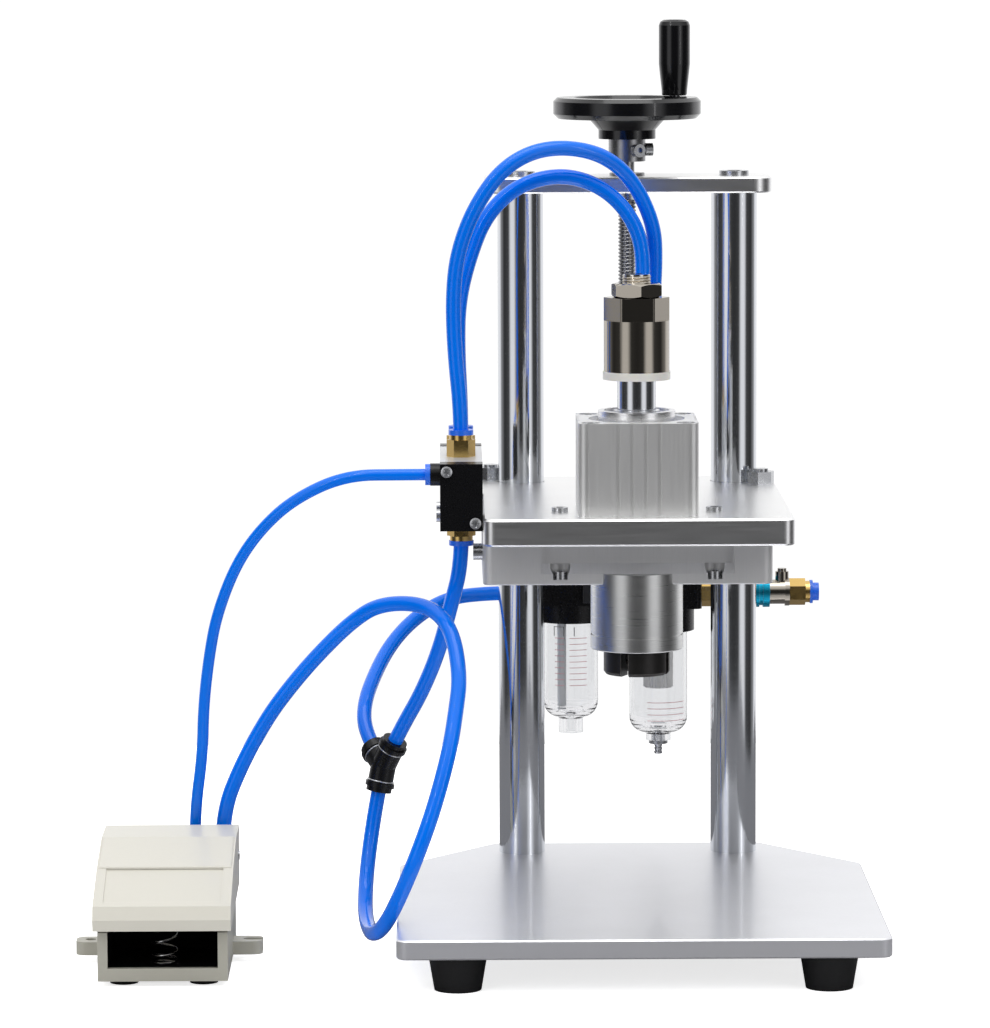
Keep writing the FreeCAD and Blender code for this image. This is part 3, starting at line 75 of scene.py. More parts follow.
def grid_faces(rows: int, cols: int, close_rows: bool, close_cols: bool) -> np.ndarray:
    """Quads between the neighbours of a grid of points.

    Args:
        rows: Points along the first parameter.
        cols: Points along the second parameter.
        close_rows: Whether the last row meets the first.
        close_cols: Whether the last column meets the first.

    Returns:
        One row of four vertex numbers for each quad.
    """
    along, across = np.arange(rows - (not close_rows)), np.arange(cols - (not close_cols))
    i, j = np.meshgrid(along, across, indexing="ij")
    up, on = (i + 1) % rows, (j + 1) % cols
    return np.stack([i * cols + j, i * cols + on, up * cols + on, up * cols + j], axis=-1).reshape(-1, 4)


def mesh_object(name: str, sheets: Sequence[Sheet], smooth_deg: float = 35.0) -> bpy.types.Object:
    """One object from grids of points, with doubles merged and normals turned outwards.

    Args:
        name: The object's name.
        sheets: Grids of points, each with whether its rows and its columns close.
        smooth_deg: Edges sharper than this stay sharp.

    Returns:
        The new object, at the origin.
    """
    points, faces, start = [], [], 0
    for grid, close_rows, close_cols in sheets:
        rows, cols = grid.shape[:2]
        points.append(grid.reshape(-1, 3))
        faces.append(grid_faces(rows, cols, close_rows, close_cols) + start)
        start += rows * cols
    mesh = bpy.data.meshes.new(name)
    mesh.from_pydata(np.concatenate(points).tolist(), [], np.concatenate(faces).tolist())
    tidy = bmesh.new()
    tidy.from_mesh(mesh)
    bmesh.ops.remove_doubles(tidy, verts=tidy.verts, dist=2e-6)
    bmesh.ops.dissolve_degenerate(tidy, edges=tidy.edges, dist=1e-6)
    bmesh.ops.recalc_face_normals(tidy, faces=tidy.faces)
    tidy.to_mesh(mesh)
    tidy.free()
    mesh.polygons.foreach_set("use_smooth", np.ones(len(mesh.polygons), bool))
    mesh.set_sharp_from_angle(angle=math.radians(smooth_deg))
    piece = bpy.data.objects.new(name, mesh)
    bpy.context.collection.objects.link(piece)
    return piece


def turned(profile: np.ndarray, centre: Point, axis: Point = (0, 0, 1), around: int = 64) -> np.ndarray:
    """A profile of (radius, height) carried round an axis: C + h A + r (cos a U + sin a W).

    Args:
        profile: Radii and heights.
        centre: Where height zero lies on the axis.
        axis: The direction of height.
        around: Points on the circle.

    Returns:
        The grid of points, profile by circle.
    """
    a = unit(np.array(axis, float))
    u = unit(np.cross(a, (0, 1, 0) if abs(a[1]) < 0.9 else (1, 0, 0)))
    w = np.cross(a, u)
    turn = np.linspace(0, 2 * math.pi, around, endpoint=False)
    ring = np.cos(turn)[:, None] * u + np.sin(turn)[:, None] * w
    return np.array(centre) + profile[:, 1, None, None] * a + profile[:, 0, None, None] * ring


def carried(path: np.ndarray) -> tuple[np.ndarray, np.ndarray]:
    """Two directions square to a path, turned as little as possible from each point to the next.

    Args:
        path: Points along the path.

    Returns:
        The two unit directions at each point.
    """
    tangent = unit(np.gradient(path, axis=0))
    first = unit(np.cross(tangent[0], (0.21, 0.93, 0.31)))
    steps = itertools.accumulate(tangent[1:], lambda n, t: unit(n - t * (n @ t)), initial=first)
    side = np.array(list(steps))
    return side, np.cross(tangent, side)


def swept(path: np.ndarray, radius: float, around: int = 20) -> list[Sheet]:
    """A round bar along a path, with flat ends: P + r (cos a N + sin a B), and the same at radius 0."""
    n, b = carried(path)
    turn = np.linspace(0, 2 * math.pi, around, endpoint=False)
    ring = np.cos(turn)[None, :, None] * n[:, None] + np.sin(turn)[None, :, None] * b[:, None]
    wall = path[:, None] + radius * ring
    full = np.concatenate([np.repeat(path[:1, None], around, 1), wall, np.repeat(path[-1:, None], around, 1)])
    return [(full, False, True)]


def helix(centre: Point, radius: float, low: float, high: float, turns: float, steps: int = 28) -> np.ndarray:
    """A coil's centreline, closer wound at its two ends.

    The angle is 2 pi times turns times u. With v = u - 0.09 sin(2 pi u), the height is
    low + (high - low)(0.75 v + 0.75 v^2 - 0.5 v^3).

    Args:
        centre: The axis, of which only x and y count.
        radius: From the axis to the middle of the wire.
        low: Where the coil starts.
        high: Where it ends.
        turns: How often it goes round.
        steps: Points in each turn.

    Returns:
        The points of the centreline.
    """
    u = np.linspace(0, 1, int(turns * steps))
    a = 2 * math.pi * turns * u
    v = u - 0.09 * np.sin(2 * math.pi * u)
    z = low + (high - low) * (0.75 * v ** 2 - 0.5 * v ** 3 + 0.75 * v)
    return np.stack([centre[0] + radius * np.cos(a), centre[1] + radius * np.sin(a), z], -1)


# ---- shader graph ---------------------------------------------------------------------------------
@dataclass
class Graph:
    """A node tree being put together."""

    tree: bpy.types.NodeTree

    def add(self, kind: str, **settings: object) -> bpy.types.Node:
        """A new node with these properties set."""
        node = self.tree.nodes.new(kind)
        for key, value in settings.items():
            setattr(node, key, value)
        return node

    def join(self, out: bpy.types.NodeSocket, into: bpy.types.NodeSocket) -> None:
        """One link."""
        self.tree.links.new(out, into)

    def math(self, operation: str, a: object, b: object = 0.0, clamp: bool = False) -> bpy.types.NodeSocket:
        """The result of one sum of two numbers or sockets."""
        node = self.add("ShaderNodeMath", operation=operation, use_clamp=clamp)
        for value, socket in zip((a, b), node.inputs):
            self.feed(value, socket)
        return node.outputs[0]

    def feed(self, value: object, socket: bpy.types.NodeSocket) -> None:
        """Set a socket to a constant, or link it."""
        if isinstance(value, bpy.types.NodeSocket):
            self.join(value, socket)
        else:
            socket.default_value = value

    def blend(self, share: object, a: object, b: object) -> bpy.types.NodeSocket:
        """Colour a turning into colour b by a share."""
        node = self.add("ShaderNodeMix", data_type="RGBA")
        for value, socket in zip((share, a, b), (node.inputs[0], node.inputs[6], node.inputs[7])):
            self.feed(value, socket)
        return node.outputs[2]


STREAK_DETAIL = 4.0
PATCH = (22.0, 22.0, 22.0, 3.0)
WEAR_GAIN, WEAR_NOISE = 5.0, 260.0
DUST_NOISE, DUST_DETAIL = 55.0, 6.0
DUST_COLOUR = (0.62, 0.60, 0.57, 1.0)
COAT_ROUGH, LEAST_ROUGH = 0.04, 0.02


def new_group(name: str, inputs: dict[str, float], outputs: Sequence[str]) -> tuple[Graph, dict, dict]:
    """An empty shader group with number sockets.

    Args:
        name: The group's name.
        inputs: Input names and their usual values.
        outputs: Output names.

    Returns:
        The graph, its input sockets by name and its output sockets by name.
    """
    tree = bpy.data.node_groups.new(name, "ShaderNodeTree")
    for key, value in inputs.items():
        socket = tree.interface.new_socket(key, in_out="INPUT", socket_type="NodeSocketFloat")
        socket.default_value = value
    for key in outputs:
        tree.interface.new_socket(key, in_out="OUTPUT", socket_type="NodeSocketFloat")
    graph = Graph(tree)
    start, end = graph.add("NodeGroupInput"), graph.add("NodeGroupOutput")
    return graph, {s.name: s for s in start.outputs}, {s.name: s for s in end.inputs}


def build_streaks() -> bpy.types.NodeTree:
    """Noise drawn out along an axis, as a grinding belt, a lathe tool or a mould leaves it."""
    inputs = {"Across X": 200.0, "Across Y": 200.0, "Across Z": 200.0, "Depth of detail": STREAK_DETAIL}
    g, give, take = new_group("streaks", inputs, ["Value"])
    place = g.add("ShaderNodeTexCoord").outputs["Object"]
    stretch = g.add("ShaderNodeCombineXYZ")
    for key, socket in zip(("Across X", "Across Y", "Across Z"), stretch.inputs):
        g.join(give[key], socket)
    scaled = g.add("ShaderNodeVectorMath", operation="MULTIPLY")
    g.join(place, scaled.inputs[0])
    g.join(stretch.outputs[0], scaled.inputs[1])
    noise = g.add("ShaderNodeTexNoise")
    noise.inputs["Scale"].default_value = 1.0
    g.join(scaled.outputs[0], noise.inputs["Vector"])
    g.join(give["Depth of detail"], noise.inputs["Detail"])
    g.join(noise.outputs["Fac"], take["Value"])
    return g.tree


def build_edge_wear() -> bpy.types.NodeTree:
    """Where a rounded normal differs from the true one, broken up by noise: rubbed edges."""
    g, give, take = new_group("edge_wear", {"Width": 0.0006, "Amount": 0.5}, ["Mask"])
    soft = g.add("ShaderNodeBevel", samples=4)
    g.join(give["Width"], soft.inputs["Radius"])
    true = g.add("ShaderNodeNewGeometry").outputs["Normal"]
    dot = g.add("ShaderNodeVectorMath", operation="DOT_PRODUCT")
    g.join(soft.outputs[0], dot.inputs[0])
    g.join(true, dot.inputs[1])
    edge = g.math("MULTIPLY", g.math("SUBTRACT", 1.0, dot.outputs["Value"]), WEAR_GAIN, clamp=True)
    noise = g.add("ShaderNodeTexNoise")
    noise.inputs["Scale"].default_value = WEAR_NOISE
    g.join(g.add("ShaderNodeTexCoord").outputs["Object"], noise.inputs["Vector"])
    worn = g.math("MULTIPLY", edge, g.math("ADD", noise.outputs["Fac"], 0.25))
    g.join(g.math("MULTIPLY", worn, give["Amount"], clamp=True), take["Mask"])
    return g.tree


def build_dust() -> bpy.types.NodeTree:
    """More on faces that look up, in soft patches."""
    g, give, take = new_group("dust", {"Amount": 0.1}, ["Mask"])
    level = g.add("ShaderNodeSeparateXYZ")
    g.join(g.add("ShaderNodeNewGeometry").outputs["Normal"], level.inputs[0])
    up = g.math("MULTIPLY", g.math("ADD", level.outputs[2], 0.35), 0.75, clamp=True)
    noise = g.add("ShaderNodeTexNoise")
    noise.inputs["Scale"].default_value = DUST_NOISE
    noise.inputs["Detail"].default_value = DUST_DETAIL
    g.join(g.add("ShaderNodeTexCoord").outputs["Object"], noise.inputs["Vector"])
    patch = g.math("MULTIPLY", g.math("SUBTRACT", noise.outputs["Fac"], 0.3), 2.0, clamp=True)
    g.join(g.math("MULTIPLY", g.math("MULTIPLY", up, patch), give["Amount"]), take["Mask"])
    return g.tree


class Effect(Enum):
    """The shared effects, each built once."""

    STREAKS = "streaks"
    EDGE_WEAR = "edge_wear"
    DUST = "dust"


@dataclass
class Workshop:
    """Builds the shared effects and one material for each finish."""

    groups: dict[Effect, bpy.types.NodeTree] = field(default_factory=dict)
    made: dict[str, bpy.types.Material] = field(default_factory=dict)

    def open(self) -> None:
        """Build the shared groups."""
        self.groups = {
            Effect.STREAKS: build_streaks(),
            Effect.EDGE_WEAR: build_edge_wear(),
            Effect.DUST: build_dust(),
        }

    def effect(self, g: Graph, which: Effect, values: Sequence[float]) -> bpy.types.NodeSocket:
        """Place a shared group in a material.

        Args:
            g: The material's graph.
            which: The effect.
            values: Its input values, in order.

        Returns:
            The group's output.
        """
        node = g.add("ShaderNodeGroup", node_tree=self.groups[which])
        for value, socket in zip(values, node.inputs):
            socket.default_value = value
        return node.outputs[0]

    def material(self, finish: "Finish") -> bpy.types.Material:
        """The material of a finish, built the first time it is asked for."""
        if finish.name not in self.made:
            self.made[finish.name] = finish.build(self)
        return self.made[finish.name]

    def dress(self, piece: bpy.types.Object, finish: "Finish") -> None:
        """Give a piece one finish."""
        material = self.material(finish)
        slots = piece.data.materials
        slots.clear()
        slots.append(material)


@dataclass(frozen=True)
class Finish:
    """One finish of the machine: its colour, its gloss and the marks that its making left."""

    name: str
    colour: Point
    rough: float
    metal: float = 0.0
    second: Point | None = None
    grain: Point = (300.0, 300.0, 300.0)
    grain_depth: float = 0.0
    rough_spread: float = 0.08
    tone_spread: float = 0.04
    worn: Point | None = None
    wear: float = 0.0
    wear_width: float = 0.0005
    dust: float = 0.0
    coat: float = 0.0
    clear: float = 0.0
    ior: float = 1.5
    under: float = 0.0

    def build(self, shop: Workshop) -> bpy.types.Material:
        """The node tree of this finish.

        Args:
            shop: Holds the shared effects.

        Returns:
            The new material.
        """
        material = bpy.data.materials.new(self.name)
        material.use_nodes = True
        g = Graph(material.node_tree)
        shader = material.node_tree.nodes["Principled BSDF"]
        into = shader.inputs
        into["Metallic"].default_value = self.metal
        into["IOR"].default_value = self.ior
        into["Coat Weight"].default_value = self.coat
        into["Coat Roughness"].default_value = COAT_ROUGH
        into["Transmission Weight"].default_value = self.clear
        if self.under:
            into["Subsurface Weight"].default_value = self.under
            into["Subsurface Radius"].default_value = (0.002, 0.003, 0.006)
        base = (*self.colour, 1.0)
        streak = shop.effect(g, Effect.STREAKS, (*self.grain, STREAK_DETAIL))
        patch = shop.effect(g, Effect.STREAKS, PATCH)
        other = self.second or tuple(c * (1 - 3 * self.tone_spread) for c in self.colour)
        colour = g.blend(patch, (*other, 1.0), base)
        lines = g.math("MULTIPLY", g.math("SUBTRACT", streak, 0.5), self.tone_spread * 3)
        dark = tuple(c * 0.6 for c in self.colour)
        colour = g.blend(g.math("ADD", lines, 0.0, clamp=True), colour, (*dark, 1.0))
        if self.wear:
            mask = shop.effect(g, Effect.EDGE_WEAR, (self.wear_width, self.wear))
            worn = self.worn or tuple(min(1.0, c * 1.25 + 0.03) for c in self.colour)
            colour = g.blend(mask, colour, (*worn, 1.0))
        swing = g.math("MULTIPLY", g.math("SUBTRACT", streak, 0.5), self.rough_spread * 2)
        rough = g.math("ADD", swing, self.rough)
        if self.dust:
            dust = shop.effect(g, Effect.DUST, (self.dust,))
            colour = g.blend(dust, colour, DUST_COLOUR)
            rough = g.math("ADD", rough, g.math("MULTIPLY", dust, 0.5))
        g.join(colour, into["Base Color"])
        g.join(g.math("MAXIMUM", rough, LEAST_ROUGH), into["Roughness"])
        if self.grain_depth:
            bump = g.add("ShaderNodeBump")
            bump.inputs["Strength"].default_value = 1.0
            bump.inputs["Distance"].default_value = self.grain_depth
            g.join(streak, bump.inputs["Height"])
            g.join(bump.outputs[0], into["Normal"])
        return material


BRUSHED_X, BRUSHED_Z, TURNED_Z = (30.0, 900.0, 900.0), (900.0, 900.0, 30.0), (30.0, 30.0, 1600.0)

BASE_PAINT = Finish("pale_base_coat", (0.86, 0.865, 0.90), 0.36, metal=0.8, grain=(700.0, 700.0, 700.0),
                    grain_depth=2e-5, tone_spread=0.02, worn=(0.82, 0.83, 0.85), wear=0.5, dust=0.04,
                    coat=0.2)
RUBBER = Finish("foot_rubber", (0.010, 0.010, 0.011), 0.55, ior=1.4, grain=(500.0, 500.0, 500.0),
                grain_depth=4e-5, dust=0.02, worn=(0.06, 0.06, 0.06), wear=0.4)
SCREW_STEEL = Finish("zinc_screws", (0.60, 0.61, 0.63), 0.28, metal=1.0, grain=(600.0, 600.0, 600.0),
                     wear=0.4)
CHROME = Finish("hard_chrome", (0.74, 0.76, 0.79), 0.11, metal=1.0, grain=TURNED_Z, grain_depth=1e-6,
                rough_spread=0.04, tone_spread=0.015)
PLATE = Finish("satin_aluminium", (0.98, 0.98, 0.98), 0.31, metal=1.0, grain=BRUSHED_X,
               grain_depth=3e-6, rough_spread=0.07, tone_spread=0.03, worn=(0.92, 0.93, 0.94), wear=0.6,
               dust=0.03)
MILLED = Finish("milled_aluminium", (0.98, 0.98, 0.98), 0.60, metal=1.0, grain=(1400.0, 90.0, 90.0),
                grain_depth=2e-5, rough_spread=0.12, tone_spread=0.06, worn=(0.93, 0.93, 0.94),
                wear=0.7)
EXTRUSION = Finish("anodised_extrusion", (0.96, 0.96, 0.95), 0.50, metal=1.0, grain=BRUSHED_Z,
                   grain_depth=3e-6, rough_spread=0.06, tone_spread=0.03, worn=(0.85, 0.86, 0.87),
                   wear=0.5)
BRONZE = Finish("bearing_bronze", (0.60, 0.42, 0.20), 0.35, metal=1.0, grain=TURNED_Z, grain_depth=4e-6)
SHAFT_STEEL = Finish("machined_steel", (0.36, 0.36, 0.37), 0.30, metal=1.0, grain=TURNED_Z,
                     grain_depth=3e-6, wear=0.4, worn=(0.6, 0.6, 0.6))
BAKELITE = Finish("black_phenolic", (0.005, 0.005, 0.006), 0.16, ior=1.42, grain=(160.0, 160.0, 160.0),
                  grain_depth=5e-6, rough_spread=0.04, coat=0.3, dust=0.008)
NICKEL = Finish("bright_nickel", (0.46, 0.42, 0.36), 0.10, metal=1.0, grain=TURNED_Z, grain_depth=2e-6,
                rough_spread=0.05, worn=(0.80, 0.75, 0.66), wear=0.5)
ZINC = Finish("passivated_zinc", (0.78, 0.78, 0.77), 0.30, metal=1.0, second=(0.66, 0.67, 0.66),
              grain=TURNED_Z, grain_depth=4e-6, rough_spread=0.10, tone_spread=0.05, wear=0.5)
GLAND = Finish("machined_gland", (0.92, 0.92, 0.93), 0.28, metal=1.0, grain=TURNED_Z, grain_depth=4e-6,
               wear=0.4)
NYLON = Finish("natural_nylon", (0.84, 0.83, 0.79), 0.45, grain=(400.0, 400.0, 400.0), grain_depth=1e-5,
               under=0.3)
BLACK_PLASTIC = Finish("moulded_black", (0.005, 0.005, 0.006), 0.28, ior=1.36,
                       grain=(900.0, 900.0, 900.0), grain_depth=1.5e-5, worn=(0.04, 0.04, 0.04),
                       wear=0.4)
BRASS = Finish("yellow_brass", (0.78, 0.55, 0.20), 0.22, metal=1.0, grain=(300.0, 300.0, 300.0),
               grain_depth=2e-6, second=(0.70, 0.46, 0.15), wear=0.5, worn=(0.95, 0.78, 0.42))
RING_BLUE = Finish("blue_acetal", (0.02, 0.17, 0.90), 0.28, grain=(600.0, 600.0, 600.0), coat=0.2)
SLIDER_CYAN = Finish("cyan_anodising", (0.01, 0.42, 0.66), 0.30, metal=0.85, grain=(1600.0, 30.0, 30.0),
                     grain_depth=3e-6, worn=(0.5, 0.8, 0.9), wear=0.5)
CLEAR = Finish("clear_polycarbonate", (0.93, 0.93, 0.935), 0.05, clear=1.0, ior=1.45, rough_spread=0.02,
               tone_spread=0.005, grain=(120.0, 120.0, 120.0))
BRACKET = Finish("black_bracket", (0.02, 0.02, 0.022), 0.4, grain=(800.0, 800.0, 800.0),
                 grain_depth=1e-5, wear=0.5, worn=(0.3, 0.3, 0.3))
IVORY = Finish("ivory_pedal_coat", (0.69, 0.67, 0.595), 0.38, grain=(420.0, 420.0, 420.0),
               grain_depth=3e-5, second=(0.66, 0.64, 0.565), tone_spread=0.02, worn=(0.86, 0.84, 0.78),
               wear=0.6, dust=0.03, coat=0.15)
DARK_PART = Finish("dark_valve", (0.03, 0.03, 0.03), 0.5, grain=(500.0, 500.0, 500.0), grain_depth=2e-5)
JAW_OXIDE = Finish("black_oxide", (0.035, 0.033, 0.032), 0.34, metal=0.7, grain=(300.0, 300.0, 300.0),
                   grain_depth=2e-5, worn=(0.40, 0.37, 0.33), wear=0.8, rough_spread=0.12)
VALVE_SHELL = Finish("valve_casting", (0.74, 0.75, 0.76), 0.36, metal=0.6, grain=(500.0, 500.0, 500.0),
                     grain_depth=1e-5, wear=0.4)
TUBE_BLUE = Finish("blue_polyurethane", (0.0, 0.205, 1.0), 0.09, ior=1.42, grain=(90.0, 90.0, 90.0),
                   second=(0.0, 0.165, 0.88), rough_spread=0.03, tone_spread=0.02)
SPRING_WIRE = Finish("spring_wire", (0.75, 0.75, 0.76), 0.24, metal=1.0, grain=(900.0, 900.0, 900.0),
                     wear=0.3)
# The treadle's ivory darkened to about two thirds for the pedal base: painted shade for its dim front faces,
# a shaded copy of one paint.
SHADED_PEDAL_IVORY = Finish("ivory_painted_shade", (0.46, 0.45, 0.39), 0.38, grain=(420.0, 420.0, 420.0),
                     grain_depth=3e-5, second=(0.43, 0.42, 0.36), tone_spread=0.02,
                     worn=(0.70, 0.68, 0.62), wear=0.6, dust=0.03)
# Near-black sheet inside the pedal's open box: painted shade for its unlit interior.
PAINTED_SHADE_LINER = Finish("painted_shade_black", (0.004, 0.004, 0.004), 0.6, ior=1.3, grain=(500.0, 500.0, 500.0),
               grain_depth=2e-5)
SCALE_RED = Finish("printed_red", (0.88, 0.38, 0.42), 0.5, grain=(900.0, 900.0, 900.0))
SCALE_GREY = Finish("printed_grey", (0.10, 0.10, 0.11), 0.5, grain=(900.0, 900.0, 900.0))
FILTER_WHITE = Finish("sintered_filter", (0.86, 0.86, 0.85), 0.7, grain=(1500.0, 1500.0, 1500.0),
                      grain_depth=5e-5)
SIPHON = Finish("siphon_tube", (0.72, 0.74, 0.76), 0.25, grain=(200.0, 200.0, 200.0))

NODE_FINISH: dict[str, Finish] = {
    "base_plate": BASE_PAINT, "base_feet": RUBBER, "pedal_feet": RUBBER, "stand_screws": SCREW_STEEL,
    "columns": CHROME, "top_plate": PLATE, "screw_bearing": SHAFT_STEEL, "lead_screw": SHAFT_STEEL,
    "handwheel_collar": SHAFT_STEEL, "wheel_hardware": SCREW_STEEL, "handwheel": BAKELITE,
    "crank_handle": BAKELITE, "carriage_plate": PLATE, "head_block": MILLED,
    "column_bushes": SHAFT_STEEL, "feed_nut": BRONZE, "clamp_studs": SCREW_STEEL,
    "carriage_screws": SCREW_STEEL, "cylinder_body": EXTRUSION, "cylinder_gland": GLAND,
    "piston_rod": CHROME, "piston": GLAND, "bumper_washer": NYLON, "adjuster_sleeve": NICKEL,
    "lock_nut": NICKEL, "crimp_sleeve": ZINC, "valve_body": VALVE_SHELL,
    "valve_end_caps": BLACK_PLASTIC, "valve_spool": GLAND, "brass_fittings": BRASS,
    "elbow_fittings": BLACK_PLASTIC, "release_rings": RING_BLUE, "slide_valve_body": NICKEL,
    "slide_valve_ring": SLIDER_CYAN, "filter_regulator": BLACK_PLASTIC, "lubricator": BLACK_PLASTIC,
    "bowl_collars": BLACK_PLASTIC, "clear_bowls": CLEAR, "regulator_knob": BLACK_PLASTIC,
    "needle_screw": BRASS, "drain_valve": SCREW_STEEL, "unit_bracket": BRACKET,
    "branch_connector": BLACK_PLASTIC, "pedal_base": SHADED_PEDAL_IVORY, "treadle": IVORY,
    "pedal_pin": SCREW_STEEL, "pedal_valve": DARK_PART, "pedal_plunger": BLACK_PLASTIC,
    "pedal_fittings": BLACK_PLASTIC, "jaw_1": JAW_OXIDE, "jaw_2": JAW_OXIDE, "jaw_3": JAW_OXIDE,
    "jaw_4": JAW_OXIDE, "pedal_spring": SPRING_WIRE,
}


# ---- air tubes ------------------------------------------------------------------------------------
class Lie(Enum):
    """Whether a tube rides on one body, or is a fixed mesh along the stretch that bends as the carriage
    moves.
    """

    RIDES = "rides"
    BENDS = "bends"


@dataclass
class AirTube:
    """One length of polyurethane tube between two fittings."""

    name: str
    node: str
    length: float
    route: Sequence[Point]
    diameter: float = 0.008
    lie: Lie = Lie.RIDES
    start: Point = (0.0, 0.0, 0.0)
    end: Point = (0.0, 0.0, 0.0)
    carries: Sequence[str] = ()

    def spline(self) -> bpy.types.Curve:
        """A smooth open curve with the route's points as its control points."""
        curve = bpy.data.curves.new(self.name, "CURVE")
        curve.dimensions = "3D"
        line = curve.splines.new("NURBS")
        line.points.add(len(self.route) - 1)
        flat = np.hstack([np.array(self.route, float), np.ones((len(self.route), 1))]).ravel()
        line.points.foreach_set("co", flat)
        line.order_u = 3
        line.use_endpoint_u = True
        curve.resolution_u = 10
        curve.render_resolution_u = 10
        return curve

    def line(self) -> np.ndarray:
        """Points read from the curve's own line."""
        bare = bpy.data.objects.new(self.name + "_line", self.spline())
        bpy.context.collection.objects.link(bare)
        bpy.context.view_layer.update()
        mesh = bpy.data.meshes.new_from_object(bare.evaluated_get(bpy.context.evaluated_depsgraph_get()))
        points = np.zeros(len(mesh.vertices) * 3)
        mesh.vertices.foreach_get("co", points)
        bpy.data.meshes.remove(mesh)
        bpy.data.objects.remove(bare)
        return points.reshape(-1, 3)

    def build(self, shop: Workshop) -> bpy.types.Object:
        """Make the tube, hang a riding one on the carriage or fix the other in place, and log its name.

        Args:
            shop: Gives the finish.

        Returns:
            The tube's object.
        """
        if self.lie is Lie.RIDES:
            curve = self.spline()
            curve.bevel_depth = self.diameter / 2
            curve.bevel_resolution = 6
            curve.use_fill_caps = True
            tube = bpy.data.objects.new(self.name, curve)
            bpy.context.collection.objects.link(tube)
            path = None
        else:
            path = self.line()
            tube = mesh_object(self.name, swept(path, self.diameter / 2, 24))
        shop.dress(tube, TUBE_BLUE)
        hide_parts(self.node)
        if self.lie is Lie.RIDES:
            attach(tube, "carriage")
        else:
            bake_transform(tube)
        log.info("tube %s", self.name)
        return tube


TUBES = (
    AirTube("air_tube_front", "tube_front", 0.380, (
        (-0.0074, -0.027, 0.2648), (-0.0074, -0.027, 0.2828), (-0.0104, -0.027, 0.312),
        (-0.0114, -0.0265, 0.3415), (-0.0089, -0.027, 0.3655), (0.0006, -0.027, 0.39),
        (0.0161, -0.025, 0.4105), (0.0376, -0.019, 0.42), (0.0646, -0.0105, 0.417),
        (0.0826, -0.0015, 0.403), (0.0946, 0.0035, 0.3785), (0.0956, 0.0075, 0.3565),
        (0.0936, 0.009, 0.3285), (0.0891, 0.0105, 0.305), (0.0871, 0.01, 0.2725),
        (0.0871, 0.01, 0.2545))),
    AirTube("air_tube_rear", "tube_rear", 0.316, (
        (-0.0074, -0.005, 0.2648), (-0.0074, -0.005, 0.2828), (-0.0089, -0.005, 0.3125),
        (-0.0084, -0.005, 0.3375), (-0.0029, -0.005, 0.3605), (0.0066, -0.005, 0.3845),
        (0.0251, -0.005, 0.4005), (0.0496, -0.005, 0.405), (0.0726, -0.005, 0.395),
        (0.0871, -0.005, 0.3745), (0.0891, -0.005, 0.35), (0.0856, -0.005, 0.325),
        (0.0816, -0.004, 0.296), (0.0816, -0.004, 0.278))),
    AirTube("air_tube_pilot", "tube_pilot", 0.286, (
        (-0.0194, -0.064, 0.2532), (-0.0374, -0.064, 0.2532), (-0.0674, -0.059, 0.2525),
        (-0.0944, -0.0535, 0.2395), (-0.1124, -0.0465, 0.2225), (-0.1254, -0.04, 0.203),
        (-0.1354, -0.0345, 0.177), (-0.1399, -0.028, 0.1545), (-0.1434, -0.022, 0.127),
        (-0.1444, -0.016, 0.1005), (-0.1489, -0.013, 0.069), (-0.1489, -0.013, 0.051)),
        diameter=0.006, lie=Lie.BENDS, start=(-0.09, -0.05, 0.240), end=(-0.09, -0.05, 0.075)),
    AirTube("air_tube_valve", "tube_valve", 0.136, (
        (-0.0074, -0.016, 0.2188), (-0.0074, -0.016, 0.2008), (-0.0129, -0.014, 0.179),
        (-0.0194, -0.007, 0.1535), (-0.0289, 0.002, 0.1295), (-0.039, 0.0117, 0.1108),
        (-0.0462, 0.0174, 0.0954)),
        carries=("branch_connector",)),
    AirTube("air_tube_unit", "tube_unit", 0.186, (
        (0.0256, 0.142, 0.165), (0.0076, 0.142, 0.165), (-0.0149, 0.1335, 0.1635),
        (-0.0319, 0.116, 0.1555), (-0.0444, 0.098, 0.145), (-0.0529, 0.0785, 0.133),
        (-0.0604, 0.051, 0.117), (-0.0595, 0.0363, 0.1029), (-0.0519, 0.0241, 0.0921))),
    AirTube("air_tube_pedal", "tube_pedal", 0.568, (
        (-0.0506, 0.0198, 0.0821), (-0.0541, 0.0193, 0.0645), (-0.0584, 0.0095, 0.0355),
        (-0.0594, -0.01, 0.0185), (-0.0584, -0.028, 0.013), (-0.0564, -0.0485, 0.012),
        (-0.0544, -0.071, 0.014), (-0.0499, -0.094, 0.0205), (-0.0439, -0.1135, 0.033),
        (-0.0354, -0.124, 0.0535), (-0.0274, -0.1255, 0.074), (-0.0209, -0.12, 0.0925),
        (-0.0139, -0.111, 0.1175), (-0.0109, -0.101, 0.1345), (-0.0084, -0.0895, 0.152),
        (-0.0129, -0.0705, 0.175), (-0.0259, -0.0485, 0.184), (-0.0499, -0.03, 0.182),
        (-0.0654, -0.0195, 0.171), (-0.0839, -0.0175, 0.1525), (-0.0984, -0.0165, 0.1355),
        (-0.1104, -0.014, 0.119), (-0.1239, -0.013, 0.0945), (-0.1342, -0.013, 0.069),
        (-0.1342, -0.013, 0.051)),
        lie=Lie.BENDS, start=(-0.0506, 0.0198, 0.08), end=(-0.0506, -0.0128, 0.08)),
)


